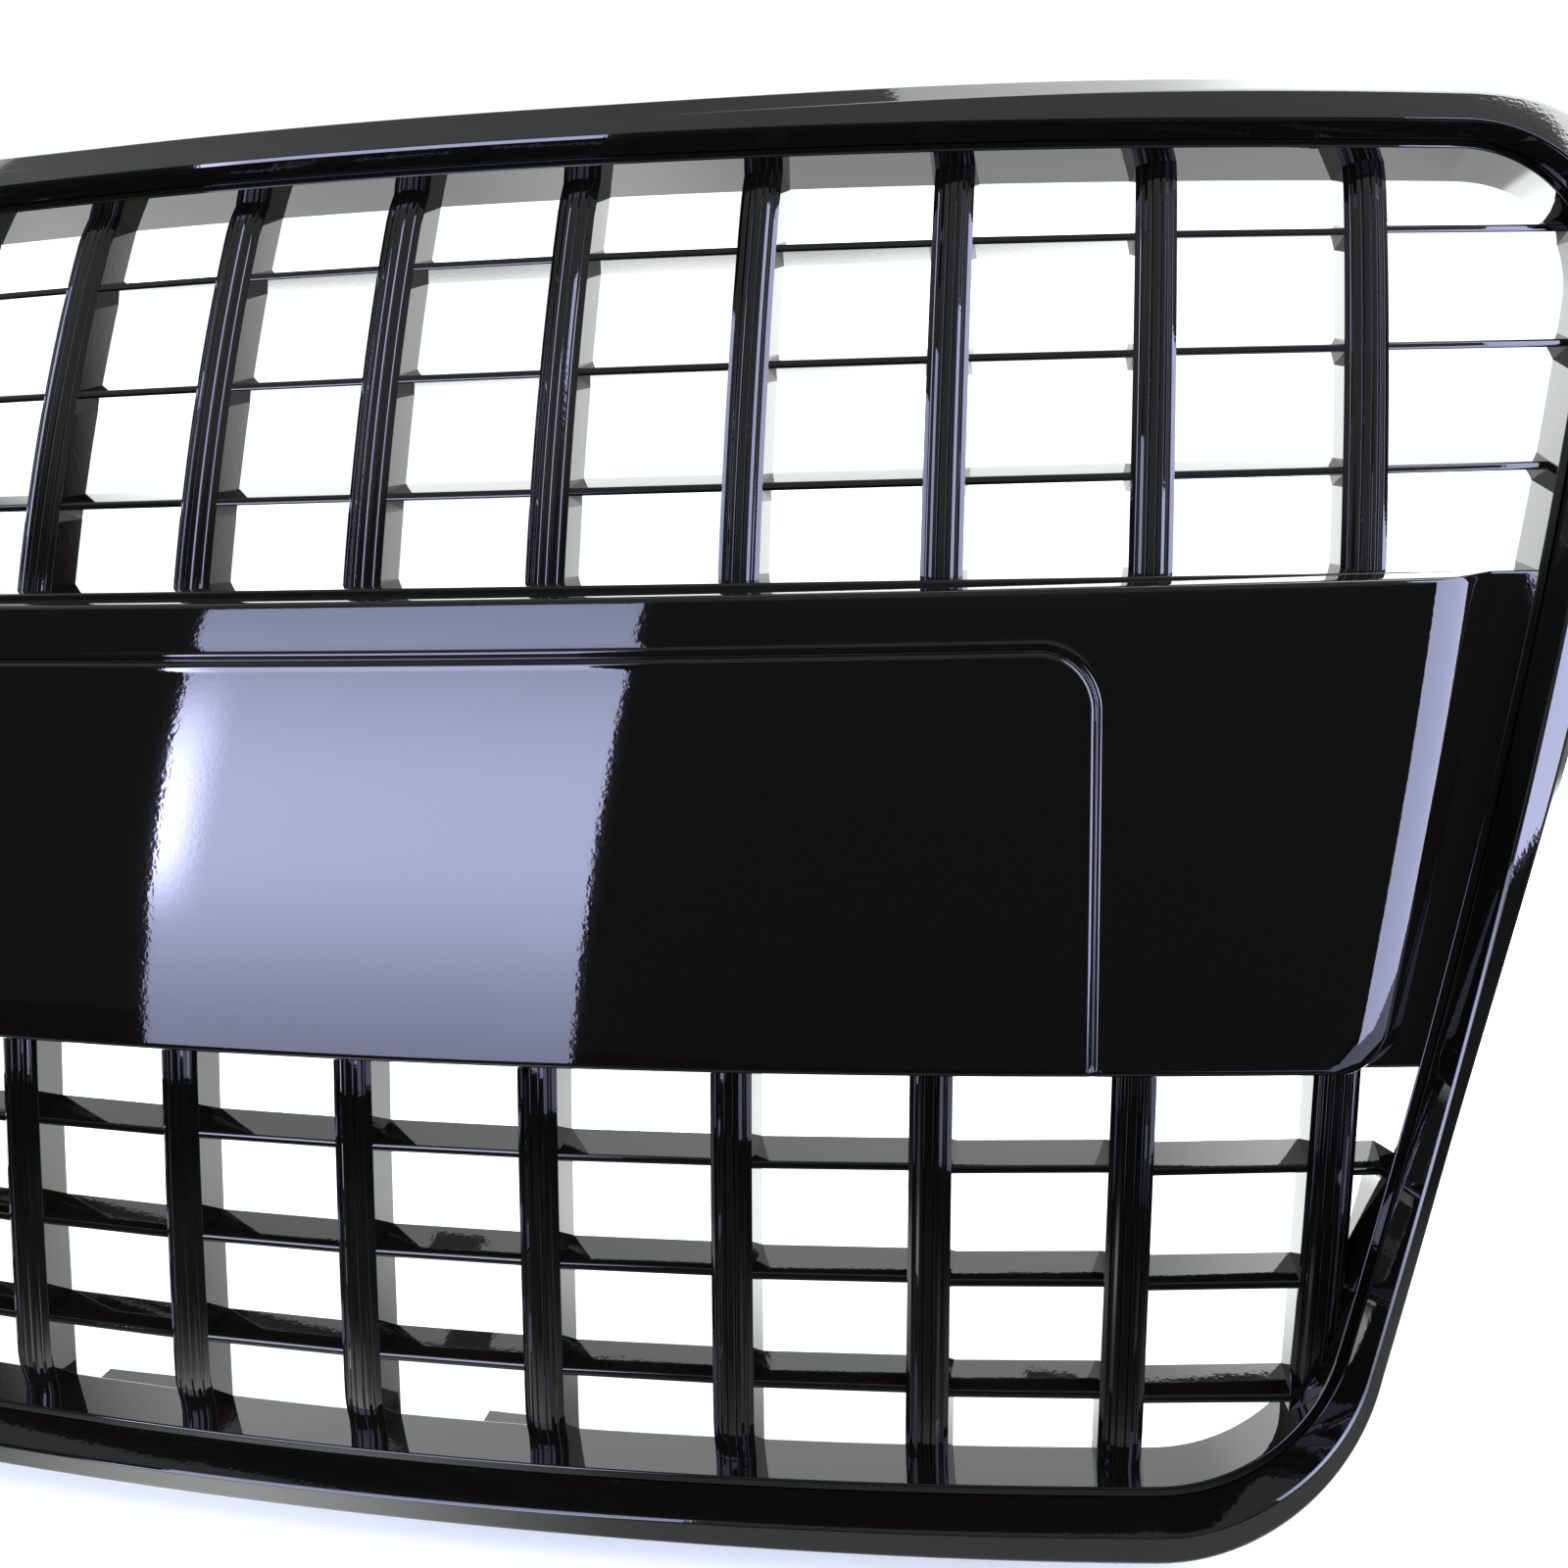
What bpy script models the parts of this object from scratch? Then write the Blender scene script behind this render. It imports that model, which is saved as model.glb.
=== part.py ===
"""Front grille of a tall road car: a trapezoid surround, a bar and slat insert and a number-plate panel.

Metres, +Z up. X runs across the car, -Y is forward, and X = 0 is the car's centre plane.
The origin is the middle of the rear face of the locating pad behind the plate panel.
"""

import math

import bmesh
import bpy
from mathutils import Matrix, Vector

# The grille's face is one convex sheet, y = face(x, z). Heights h stand forward of it, depths behind it.
DATUM_Z = 0.1015          # height of the third slat row, where the sheet's coefficients hold
DATUM_Y = 0.0140          # the sheet's depth at that height on the centre plane
LEAN = 0.3775             # backward slope of the sheet at the datum
BOW = 0.8557              # how fast the slope grows with height
BOW_RISE = 0.9054         # cubic part of that growth
CROWN = 0.3157            # backward curve towards the two sides
CROWN_RISE = 0.3715       # how fast that curve grows with height

# Opening: the inner lip of the surround, as seen from the front.
LIP_TOP = 0.2080          # height of the top edge on the centre plane
LIP_TOP_CURVE = 0.032     # drop of the top edge per square of x
LIP_BOTTOM = -0.1990
LIP_BOTTOM_CURVE = 0.055  # rise of the bottom edge per square of x
LIP_SIDE = 0.3736         # half width at z = 0
LIP_SIDE_SLOPE = 0.255    # widening with height
TOP_CORNER = 0.038        # corner radii
BOTTOM_CORNER = 0.055
LIP_HEIGHT = 0.0045
WALL_INSET = 0.0020       # how far the wall inside the opening leans inward over its depth
WALL_INSET_TOP = 0.0060   # added along the top edge
WALL_INSET_BOTTOM = 0.0018  # taken off along the bottom edge

# Surround: its section in millimetres, outward from the lip and forward of the sheet.
SURROUND_SECTION = [(2.9, 1.5), (2.9, 5.2), (6.5, 14.4), (7.2, 15.6), (8.4, 15.5), (12.8, 12.9), (17.2, 9.2),
                    (20.4, 5.2), (22.0, 0.6), (22.4, -14.0), (20.2, -14.0), (19.9, -0.2), (18.4, 3.4),
                    (15.4, 6.9), (11.4, 10.2), (8.4, 11.6), (5.1, 4.6), (5.1, 1.5)]
RIDGE_OUT = 7.2           # outward place of the ridge; beyond it the section is scaled by outer_share
CREST_FOOT = 4.6          # height where the top edge's crest starts to sit back
CREST_SPAN = 10.0         # height over which it does
CREST_OUT = 0.9           # how far it moves outward
CREST_DROP = 3.2          # how far it moves back
SLIM_SIDE = 0.45          # share of the outer face left low on the sides
SLIM_LOW, SLIM_HIGH = -0.0985, 0.0815    # heights between which the sides widen
WIDE_TOP, WIDE_BOTTOM = 0.20, 0.12       # extra width towards the ends of the long edges
WIDE_START, WIDE_END = 0.08, 0.28        # |x| between which that width comes in
CORNER_SWELL = 0.5        # extra width round the top corners

# Vertical bars and horizontal slats.
BARS_PER_SIDE = 6
BAR_PITCH = 0.0615
BAR_FAN = 0.0741          # how fast the bars close up towards the top
BAR_SPLAY = 0.0752        # how far the outermost bars turn outward instead
BAR_LEVEL = 0.0115        # height where the bars stand at their pitch
WEB_HALF = 0.0064         # half width of a bar's web at the front
BAR_DRAFT = 0.11
MESH_FRONT = 0.0025       # depth of the insert's front plane behind the face sheet
MESH_BACK = 0.0130
MESH_REACH = 0.46         # half length before the opening's outline trims the ends
MESH_HIGH_END = 0.235     # heights past the opening where the untrimmed mesh stops
MESH_LOW_END = -0.225
SLAT_HALF = 0.0010        # half height of a slat at the front
SLAT_DRAFT = 0.306
SLAT_GAP_UPPER = 0.0378
SLAT_GAP_LOWER = 0.0348
UPPER_SLATS = [DATUM_Z + SLAT_GAP_UPPER * i for i in (2, 1, 0)]
FIRST_LOWER_SLAT = -0.1021
LOWER_SLATS = [FIRST_LOWER_SLAT - SLAT_GAP_LOWER * i for i in range(3)]

# Trim strip on the front of a bar: half its stepped section, as (offset, depth).
STRIP_STEPS = [(0.0018, 0.0), (0.0021, 0.0005), (0.0041, 0.0006), (0.0045, 0.0012), (0.0060, 0.0014)]
STRIP_EDGE = 0.0003       # depth of the rounded edge beside the last step
STRIP_BACK = (0.0065, 0.0021)

# Panel carrier across the middle and the raised plate panel on it.
CARRIER_TOP = 0.0730
CARRIER_BOTTOM = -0.0695
CARRIER_DRAFT = 0.12
CARRIER_WALL = 0.0025
CARRIER_REACH = 0.43      # half length before the opening's outline trims the ends
SEAM = 0.0006             # clearance between the carrier and the two meshes
PANEL_TOP = 0.0710        # the carrier's top edge shows above the panel
PANEL_FOOT = 0.0049       # heights of the panel's foot and of its flat face
PANEL_FACE = 0.0123
PANEL_SIDE = 0.3632       # half width of the panel's foot at z = 0
PANEL_SIDE_SLOPE = 0.222
# Its sloped ends and rounded edges, as (distance in from the foot's edge, height).
PANEL_END = [(0.0, PANEL_FOOT), (0.0078, 0.0098), (0.0125, 0.0117), (0.0205, PANEL_FACE)]
PANEL_BOTTOM_EDGE = [(0.0, PANEL_FOOT), (0.0022, 0.0113), (0.005, PANEL_FACE)]
PANEL_TOP_EDGE = [(0.004, PANEL_FACE), (0.0022, 0.0115), (0.0, PANEL_FOOT)]
PANEL_LEVELS = [-0.052, 0.0, 0.052]      # heights where its flat face bends with the sheet
PANEL_CORNER = 0.012      # radius of the lower corners
PANEL_SHELL = 0.0025
PANEL_EDGE_ZONE = 0.06    # beyond this |z| the tray's inside is set in from its edges

# Groove that frames the space of a 520 x 110 mm number plate.
GROOVE_SIDE = 0.2619
GROOVE_TOP = 0.0523
GROOVE_CORNER = 0.0175
GROOVE_WIDTH = 0.0021
GROOVE_DEPTH = 0.0009
GROOVE_FLOOR = 0.6        # width of the floor, and of the cutter's top, against the half width
GROOVE_MOUTH = 2.2
GROOVE_CLEAR = 0.0020     # how far the cutter stands above the panel's face
GROOVE_OVERRUN = 0.006    # how far it runs past the panel's bottom edge

# Rail round the insert rim, behind the surround, and the tabs screwed to it.
RIM_WALL = 0.0022
RAIL_INNER = 0.0026       # outward from the lip
RAIL_OUTER = 0.0134
RAIL_FRONT = 0.0011
RAIL_BACK = 0.0075        # depth of the rail's back face
RAIL_MIDDLE = 0.0082      # distance of the screws from the lip
SCREW_LABELS = ("left_outer", "left_inner", "right_inner", "right_outer")
TOP_SCREWS = (-0.285, -0.095, 0.095, 0.285)
BOTTOM_SCREWS = (-0.225, -0.075, 0.075, 0.225)
SCREW_SHANK = 0.0015      # radii
SCREW_HEAD = 0.0038
SCREW_CROWN = 0.75        # radius of the head's top against its edge
SCREW_EDGE_HEIGHT = 0.0012
SCREW_CROWN_HEIGHT = 0.0024
SCREW_FACETS = 10
HOLE_REACH = 0.0058       # depth of the blind hole in the rail
HOLE_SIDES = 8
CUT_REACH = 0.006         # how far a cutter passes through what it cuts
TAB_WIDTH = 0.030
TAB_THICK = 0.0020
TAB_INNER = 0.0048        # reach of a tab's foot to either side of its screw
TAB_OUTER = 0.0068
TAB_EAR = 0.0105          # height of its ear
TAB_HOLE = 0.0023         # radius of its screw hole
TOP_EAR_Y = 0.1280        # planes of the ears' rear faces
BOTTOM_EAR_Y = -0.0120
SLOT_CORNERS = [(-0.0045, -0.0024), (0.0045, -0.0024), (0.0056, -0.0011), (0.0056, 0.0011),
                (0.0045, 0.0024), (-0.0045, 0.0024), (-0.0056, 0.0011), (-0.0056, -0.0011)]

# Pad bonded behind the panel.
PAD_HALF_WIDTH = 0.030
PAD_HALF_HEIGHT = 0.016
PAD_CHAMFER = 0.002

GAP = 0.0003              # clearance between touching pieces
FIT_GAP = 0.0004          # clearance of a screw in its hole and of the meshes in the opening
MERGE = 0.000001          # points closer than this are one point
MILLIMETRE = 0.001

MATERIALS = {
    "gloss_black": ((0.006, 0.006, 0.007, 1), 0.06, 0.0),
    "gloss_black_strip": ((0.008, 0.008, 0.010, 1), 0.08, 0.0),
    "black_plastic": ((0.015, 0.015, 0.016, 1), 0.45, 0.0),
    "zinc_steel": ((0.55, 0.56, 0.58, 1), 0.35, 1.0),
    "grey_foam": ((0.10, 0.10, 0.11, 1), 0.9, 0.0),
}


def clear_scene():
    """Removes every object of the starting scene."""
    for obj in list(bpy.data.objects):
        bpy.data.objects.remove(obj)


def make_materials():
    """Plain materials by name, from MATERIALS."""
    made = {}
    for name, (color, roughness, metallic) in MATERIALS.items():
        material = bpy.data.materials.new(name)
        material.use_nodes = True
        shader = material.node_tree.nodes["Principled BSDF"]
        shader.inputs["Base Color"].default_value = color
        shader.inputs["Roughness"].default_value = roughness
        shader.inputs["Metallic"].default_value = metallic
        made[name] = material
    return made


def face(x, z):
    """Depth y of the face sheet in front of or behind the origin."""
    rise = z - DATUM_Z
    side_curve = (CROWN + CROWN_RISE * rise) * x * x
    return DATUM_Y + LEAN * rise + BOW * rise**2 + BOW_RISE * rise**3 + side_curve


def on_face(x, z, height):
    """Point at a height in front of the face sheet."""
    return Vector((x, face(x, z) - height, z))


def bar_x(index, z):
    """Centre of the bar at index pitches from the centre plane; the outer bars splay outward at the top."""
    outward = index / (BARS_PER_SIDE - 0.5)
    return index * BAR_PITCH + (z - BAR_LEVEL) * (BAR_SPLAY * outward**3 - BAR_FAN * index * BAR_PITCH)


def smooth_step(low, high, value):
    """0 below low, 1 above high, and a smooth rise between."""
    t = min(1.0, max(0.0, (value - low) / (high - low)))
    return t * t * (3 - 2 * t)


def lip_corner(top):
    """Centre of the corner's circle and the outward angles where its arc starts and ends."""
    radius = TOP_CORNER if top else BOTTOM_CORNER
    sign = 1 if top else -1
    level = LIP_TOP if top else LIP_BOTTOM
    curve = LIP_TOP_CURVE if top else LIP_BOTTOM_CURVE
    stretch = math.hypot(1, LIP_SIDE_SLOPE)
    tilt = 0.0
    centre_z = level - sign * radius
    for _ in range(20):
        centre_x = LIP_SIDE + LIP_SIDE_SLOPE * centre_z - radius * stretch
        touch_x = centre_x + radius * math.sin(tilt)
        tilt = math.atan(2 * curve * touch_x)
        centre_z = level - sign * (curve * touch_x**2 + radius * math.cos(tilt))
    start = sign * (math.pi / 2 - tilt)
    end = -math.atan(LIP_SIDE_SLOPE)
    return centre_x, centre_z, radius, start, end


def half_outline(flat_steps, arc_steps, side_steps):
    """Right half of the opening's outline, from the top centre to the bottom centre, as (x, z, nx, nz)."""
    stations = []
    top_x, top_z, top_r, top_start, side_angle = lip_corner(True)
    low_x, low_z, low_r, low_start, _ = lip_corner(False)
    top_end = top_x + top_r * math.cos(top_start)
    low_end = low_x + low_r * math.cos(low_start)
    for i in range(flat_steps):
        x = top_end * i / flat_steps
        tilt = math.atan(2 * LIP_TOP_CURVE * x)
        stations.append((x, LIP_TOP - LIP_TOP_CURVE * x * x, math.sin(tilt), math.cos(tilt)))
    for i in range(arc_steps + 1):
        angle = top_start + (side_angle - top_start) * i / arc_steps
        stations.append((top_x + top_r * math.cos(angle), top_z + top_r * math.sin(angle),
                         math.cos(angle), math.sin(angle)))
    side_top = Vector(stations[-1][:2])
    side_low = Vector((low_x + low_r * math.cos(side_angle), low_z + low_r * math.sin(side_angle)))
    for i in range(1, side_steps):
        point = side_top.lerp(side_low, i / side_steps)
        stations.append((point.x, point.y, math.cos(side_angle), math.sin(side_angle)))
    for i in range(arc_steps + 1):
        angle = side_angle + (low_start - side_angle) * i / arc_steps
        stations.append((low_x + low_r * math.cos(angle), low_z + low_r * math.sin(angle),
                         math.cos(angle), math.sin(angle)))
    for i in range(1, flat_steps + 1):
        x = low_end * (1 - i / flat_steps)
        tilt = math.atan(2 * LIP_BOTTOM_CURVE * x)
        stations.append((x, LIP_BOTTOM + LIP_BOTTOM_CURVE * x * x, math.sin(tilt), -math.cos(tilt)))
    return stations


def outline(flat_steps=8, arc_steps=7, side_steps=8):
    """The whole closed outline, clockwise from the top centre as seen from the front."""
    half = half_outline(flat_steps, arc_steps, side_steps)
    other = [(-x, z, -nx, nz) for x, z, nx, nz in reversed(half[1:-1])]
    return half + other


def wall_inset(nz):
    """How far the insert's wall leans inward over its depth: most along the top, least along the bottom."""
    return WALL_INSET + WALL_INSET_TOP * max(nz, 0.0) ** 3 - WALL_INSET_BOTTOM * max(-nz, 0.0)


def outer_share(x, nx, nz, z):
    """Width of the surround's outer face against its section: slim low on the sides, full elsewhere."""
    side = SLIM_SIDE + (1 - SLIM_SIDE) * smooth_step(SLIM_LOW, SLIM_HIGH, z)
    level = 1 + (WIDE_TOP if nz > 0 else WIDE_BOTTOM) * smooth_step(WIDE_START, WIDE_END, abs(x))
    slant = abs(2 * nx * nz)
    corner = CORNER_SWELL * slant * slant if nz > 0 else 0.0
    return nz * nz * level + (1 - nz * nz) * side + corner


def new_object(name, verts, faces, material, smooth=None):
    """A named mesh object with its faces turned outward."""
    mesh = bpy.data.meshes.new(name)
    body = bmesh.new()
    points = [body.verts.new(v) for v in verts]
    for corners in faces:
        body.faces.new([points[i] for i in corners])
    bmesh.ops.remove_doubles(body, verts=body.verts, dist=MERGE)
    bmesh.ops.recalc_face_normals(body, faces=body.faces)
    body.to_mesh(mesh)
    body.free()
    if smooth:
        mesh.shade_smooth()
        mesh.set_sharp_from_angle(angle=math.radians(smooth))
    obj = bpy.data.objects.new(name, mesh)
    bpy.context.scene.collection.objects.link(obj)
    if material:
        mesh.materials.append(material)
    return obj


def loft(name, rings, material, closed=False, smooth=35):
    """Skins a list of point rings; ends are capped unless the rings close on themselves."""
    count = len(rings[0])
    verts = [point for ring in rings for point in ring]
    faces = []
    for r in range(len(rings) if closed else len(rings) - 1):
        here = r * count
        there = (r + 1) % len(rings) * count
        for i in range(count):
            j = (i + 1) % count
            faces.append((here + i, here + j, there + j, there + i))
    if not closed:
        faces.append(tuple(range(count)))
        faces.append(tuple(range(len(verts) - count, len(verts))))
    return new_object(name, verts, faces, material, smooth)


def hide_as_cutter(obj):
    """Keeps a cutting body out of the built part."""
    obj.hide_render = True
    obj.display_type = "WIRE"
    return obj


def add_boolean(obj, cutter, operation):
    """Cuts obj with, or keeps it inside, another body."""
    step = obj.modifiers.new(operation.lower(), "BOOLEAN")
    step.operation = operation
    step.solver = "EXACT"
    step.object = cutter


def opening_cutter():
    """Solid that fills the opening just inside the insert rim's wall; it trims whatever ends at the rim."""
    forward = 0.010
    back = 0.017
    reach = 0.14
    rings = [[], [], [], []]
    for x, z, nx, nz in outline():
        slope = wall_inset(nz) / (LIP_HEIGHT + MESH_BACK)
        for ring, height in ((1, forward), (2, -back)):
            offset = slope * (height - LIP_HEIGHT) - FIT_GAP
            rings[ring].append(on_face(x + nx * offset, z + nz * offset, height))
        rings[0].append(Vector((rings[1][-1].x, -reach, rings[1][-1].z)))
        rings[3].append(Vector((rings[2][-1].x, reach, rings[2][-1].z)))
    return hide_as_cutter(loft("opening_cutter", rings, None))


def surround_frame(material):
    """Shell of the outer trim: reveal band, sharp ridge, rounded outer face and a skirt, open at the back."""
    rings = []
    for x, z, nx, nz in outline():
        share = outer_share(x, nx, nz, z)
        ring = []
        for out, height in SURROUND_SECTION:
            if out > RIDGE_OUT:
                out = RIDGE_OUT + (out - RIDGE_OUT) * share
            slide = max(nz, 0) ** 2 * min(1.0, max(0.0, (height - CREST_FOOT) / CREST_SPAN))
            out = (out + CREST_OUT * slide) * MILLIMETRE
            height = (height - CREST_DROP * slide) * MILLIMETRE
            ring.append(on_face(x + nx * out, z + nz * out, height))
        rings.append(ring)
    return loft("surround_frame", rings, material, closed=True)


def insert_rim(material, screws):
    """Ring that lines the opening: a leaning inner wall, a narrow lip and a rail behind the surround."""
    rings = []
    for x, z, nx, nz in outline():
        inset = wall_inset(nz)
        rail_out = RAIL_INNER + (RAIL_OUTER - RAIL_INNER) * outer_share(x, nx, nz, z)
        section = [(0, LIP_HEIGHT), (0.0006, LIP_HEIGHT + 0.0005), (RAIL_INNER, LIP_HEIGHT + 0.0003),
                   (RAIL_INNER, RAIL_FRONT), (rail_out, RAIL_FRONT), (rail_out, -RAIL_BACK),
                   (RAIL_INNER - inset / 2, -RAIL_BACK), (RIM_WALL - inset, -MESH_BACK), (-inset, -MESH_BACK)]
        rings.append([on_face(x + nx * out, z + nz * out, height) for out, height in section])
    rim = loft("insert_rim", rings, material, closed=True)
    add_boolean(rim, screw_holes(screws), "DIFFERENCE")
    return rim


def lattice(name, slats, ends, cutter, material):
    """Bars and slats of one insert half as one solid, drafted from its front plane to its back plane."""
    bars = [i + 0.5 for i in range(-BARS_PER_SIDE, BARS_PER_SIDE)]
    depth = MESH_BACK - MESH_FRONT
    layers = ((MESH_FRONT, WEB_HALF, SLAT_HALF), (MESH_BACK, WEB_HALF + BAR_DRAFT * depth,
                                                    SLAT_HALF + SLAT_DRAFT * depth))
    rows = [(ends[0], 0)] + [(z, side) for z in slats for side in (1, -1)] + [(ends[1], 0)]
    columns = [(None, -1)] + [(bar, side) for bar in bars for side in (-1, 1)] + [(None, 1)]
    verts, index = [], {}
    for layer, (back, web, slat) in enumerate(layers):
        for r, (row_z, row_side) in enumerate(rows):
            z = row_z + row_side * slat
            for c, (bar, side) in enumerate(columns):
                x = bar_x(bar, z) + side * web if bar is not None else side * MESH_REACH
                base = bar_x(bar, z) if bar is not None else x
                index[layer, r, c] = len(verts)
                verts.append(Vector((x, face(base, z) + back, z)))

    def is_solid(r, c):
        on_slat = r % 2 == 1
        on_bar = c % 2 == 1
        inside = 0 <= r < len(rows) - 1 and 0 <= c < len(columns) - 1
        return inside and (on_slat or on_bar)

    faces = []
    for r in range(len(rows) - 1):
        for c in range(len(columns) - 1):
            if not is_solid(r, c):
                continue
            for layer in (0, 1):
                faces.append((index[layer, r, c], index[layer, r, c + 1],
                              index[layer, r + 1, c + 1], index[layer, r + 1, c]))
            edges = (((r, c), (r, c + 1), is_solid(r - 1, c)),
                     ((r + 1, c), (r + 1, c + 1), is_solid(r + 1, c)),
                     ((r, c), (r + 1, c), is_solid(r, c - 1)),
                     ((r, c + 1), (r + 1, c + 1), is_solid(r, c + 1)))
            for first, second, joined in edges:
                if not joined:
                    faces.append((index[0, *first], index[0, *second], index[1, *second], index[1, *first]))
    used = sorted({i for corners in faces for i in corners})
    place = {old: new for new, old in enumerate(used)}
    body = new_object(name, [verts[i] for i in used], [[place[i] for i in f] for f in faces], material)
    add_boolean(body, cutter, "INTERSECT")
    return body


def trim_strip(name, bar, low, high, cutter, material):
    """Stepped strip that caps one bar."""
    steps = 7
    half = STRIP_STEPS + [(STRIP_BACK[0], STRIP_STEPS[-1][1] + STRIP_EDGE), STRIP_BACK]
    section = [(-u, d) for u, d in reversed(half)] + half
    rings = []
    for i in range(steps + 1):
        z = low + (high - low) * i / steps
        centre = bar_x(bar, z)
        rings.append([Vector((centre + u, face(centre, z) + d, z)) for u, d in section])
    strip = loft(name, rings, material, smooth=30)
    add_boolean(strip, cutter, "INTERSECT")
    return strip


def panel_carrier(cutter, material):
    """Shallow channel across the opening, flush with the lip, that carries the plate panel."""
    rise = CARRIER_DRAFT * (LIP_HEIGHT + MESH_BACK)
    wall = CARRIER_WALL
    levels = 6
    columns = 18
    tall = CARRIER_TOP - CARRIER_BOTTOM
    front = [(CARRIER_BOTTOM + tall * i / levels, LIP_HEIGHT) for i in range(levels + 1)]
    floor = tall - 2 * wall
    inner = [(CARRIER_TOP - wall - floor * i / levels, LIP_HEIGHT - wall) for i in range(levels + 1)]
    section = front + [(CARRIER_TOP + rise, -MESH_BACK), (CARRIER_TOP + rise - wall, -MESH_BACK)]
    section += inner + [(CARRIER_BOTTOM - rise + wall, -MESH_BACK), (CARRIER_BOTTOM - rise, -MESH_BACK)]
    rings = []
    for i in range(columns + 1):
        x = CARRIER_REACH * (2 * i / columns - 1)
        rings.append([on_face(x, z, height) for z, height in section])
    carrier = loft("panel_carrier", rings, material)
    add_boolean(carrier, cutter, "INTERSECT")
    return carrier


def panel_half_width(z):
    """Half width of the panel's foot, with its lower corners rounded."""
    above = z - CARRIER_BOTTOM
    width = PANEL_SIDE + PANEL_SIDE_SLOPE * z
    if above < PANEL_CORNER:
        width -= PANEL_CORNER - math.sqrt(max(0.0, PANEL_CORNER**2 - (PANEL_CORNER - above) ** 2))
    return width


def panel_row(z, level_height):
    """Front and back points of one level of the tray, from its left foot to its right foot."""
    centre_steps = 18
    half = panel_half_width(z)
    inner = half - PANEL_END[-1][0]
    left = [(across - half, height) for across, height in PANEL_END]
    middle = [(-inner + 2 * inner * i / centre_steps, PANEL_FACE) for i in range(1, centre_steps)]
    columns = left + middle + [(-x, height) for x, height in reversed(left)]
    edge_row = level_height == PANEL_FOOT
    inward = PANEL_SHELL * ((z < -PANEL_EDGE_ZONE) - (z > PANEL_EDGE_ZONE))
    inset_z = z + (inward if edge_row else 0.8 * inward)
    front, back = [], []
    for number, (x, height) in enumerate(columns):
        height = PANEL_FOOT if edge_row else min(height, level_height)
        front.append(on_face(x, z, height))
        from_end = min(number, len(columns) - 1 - number)
        inset_x = x - math.copysign(PANEL_SHELL * (2 - from_end) * 0.6, x) if from_end < 2 else x
        on_foot = edge_row or from_end == 0
        depth = PANEL_FOOT if on_foot else max(PANEL_FOOT + GAP, height - PANEL_SHELL)
        back.append(on_face(inset_x, inset_z, depth))
    return front, back


def shell_faces(rows, wide):
    """Faces of a shell whose front grid of rows x wide points is followed by its back grid."""
    shift = rows * wide
    faces = []
    for r in range(rows - 1):
        for c in range(wide - 1):
            a = r * wide + c
            faces.append((a, a + 1, a + 1 + wide, a + wide))
            faces.append((shift + a, shift + a + 1, shift + a + 1 + wide, shift + a + wide))
    for c in range(wide - 1):
        for a in (c, (rows - 1) * wide + c):
            faces.append((a, a + 1, shift + a + 1, shift + a))
    for r in range(rows - 1):
        for a in (r * wide, r * wide + wide - 1):
            faces.append((a, a + wide, shift + a + wide, shift + a))
    return faces


def plate_panel(groove, material):
    """Raised tray with sloped ends; a groove frames the space of the number plate."""
    levels = [(CARRIER_BOTTOM + up, height) for up, height in PANEL_BOTTOM_EDGE]
    levels += [(z, PANEL_FACE) for z in PANEL_LEVELS]
    levels += [(PANEL_TOP - down, height) for down, height in PANEL_TOP_EDGE]
    pairs = [panel_row(z, height) for z, height in levels]
    verts = [point for front, _ in pairs for point in front]
    wide = len(pairs[0][0])
    verts += [point for _, back in pairs for point in back]
    panel = new_object("plate_panel", verts, shell_faces(len(pairs), wide), material, 30)
    add_boolean(panel, groove, "DIFFERENCE")
    return panel


def groove_cutter():
    """Swept wedge that cuts the plate outline: up one side, across the top and down the other."""
    radius = GROOVE_CORNER
    corner_x = GROOVE_SIDE - radius
    corner_z = GROOVE_TOP - radius
    foot = CARRIER_BOTTOM - GROOVE_OVERRUN
    side_steps, arc_steps, top_steps = 5, 6, 18
    rise = (corner_z - foot) / side_steps
    path = [(-GROOVE_SIDE, foot + rise * i, -1.0, 0.0) for i in range(side_steps + 1)]
    for i in range(1, arc_steps + 1):
        angle = math.pi - math.pi / 2 * i / arc_steps
        path.append((-corner_x + radius * math.cos(angle), corner_z + radius * math.sin(angle),
                     math.cos(angle), math.sin(angle)))
    left = list(path)
    for i in range(1, top_steps):
        path.append((corner_x * (2 * i / top_steps - 1), GROOVE_TOP, 0.0, 1.0))
    path += [(-x, z, -nx, nz) for x, z, nx, nz in reversed(left)]
    floor = GROOVE_WIDTH / 2 * GROOVE_FLOOR
    mouth = GROOVE_WIDTH / 2 * GROOVE_MOUTH
    low, high = PANEL_FACE - GROOVE_DEPTH, PANEL_FACE + GROOVE_CLEAR
    section = [(-floor, low), (floor, low), (mouth, high), (-mouth, high)]
    rings = [[on_face(x + nx * out, z + nz * out, height) for out, height in section]
             for x, z, nx, nz in path]
    return hide_as_cutter(loft("groove_cutter", rings, None))


def prism(name, corners, low, high, matrix, material):
    """Polygon (u, v) extruded from low to high along w, then placed by a matrix."""
    rings = [[matrix @ Vector((u, v, w)) for u, v in corners] for w in (low, high)]
    return loft(name, rings, material)


def circle(radius, count):
    """Points of a regular polygon round the origin."""
    return [(radius * math.cos(2 * math.pi * i / count), radius * math.sin(2 * math.pi * i / count))
            for i in range(count)]


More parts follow.
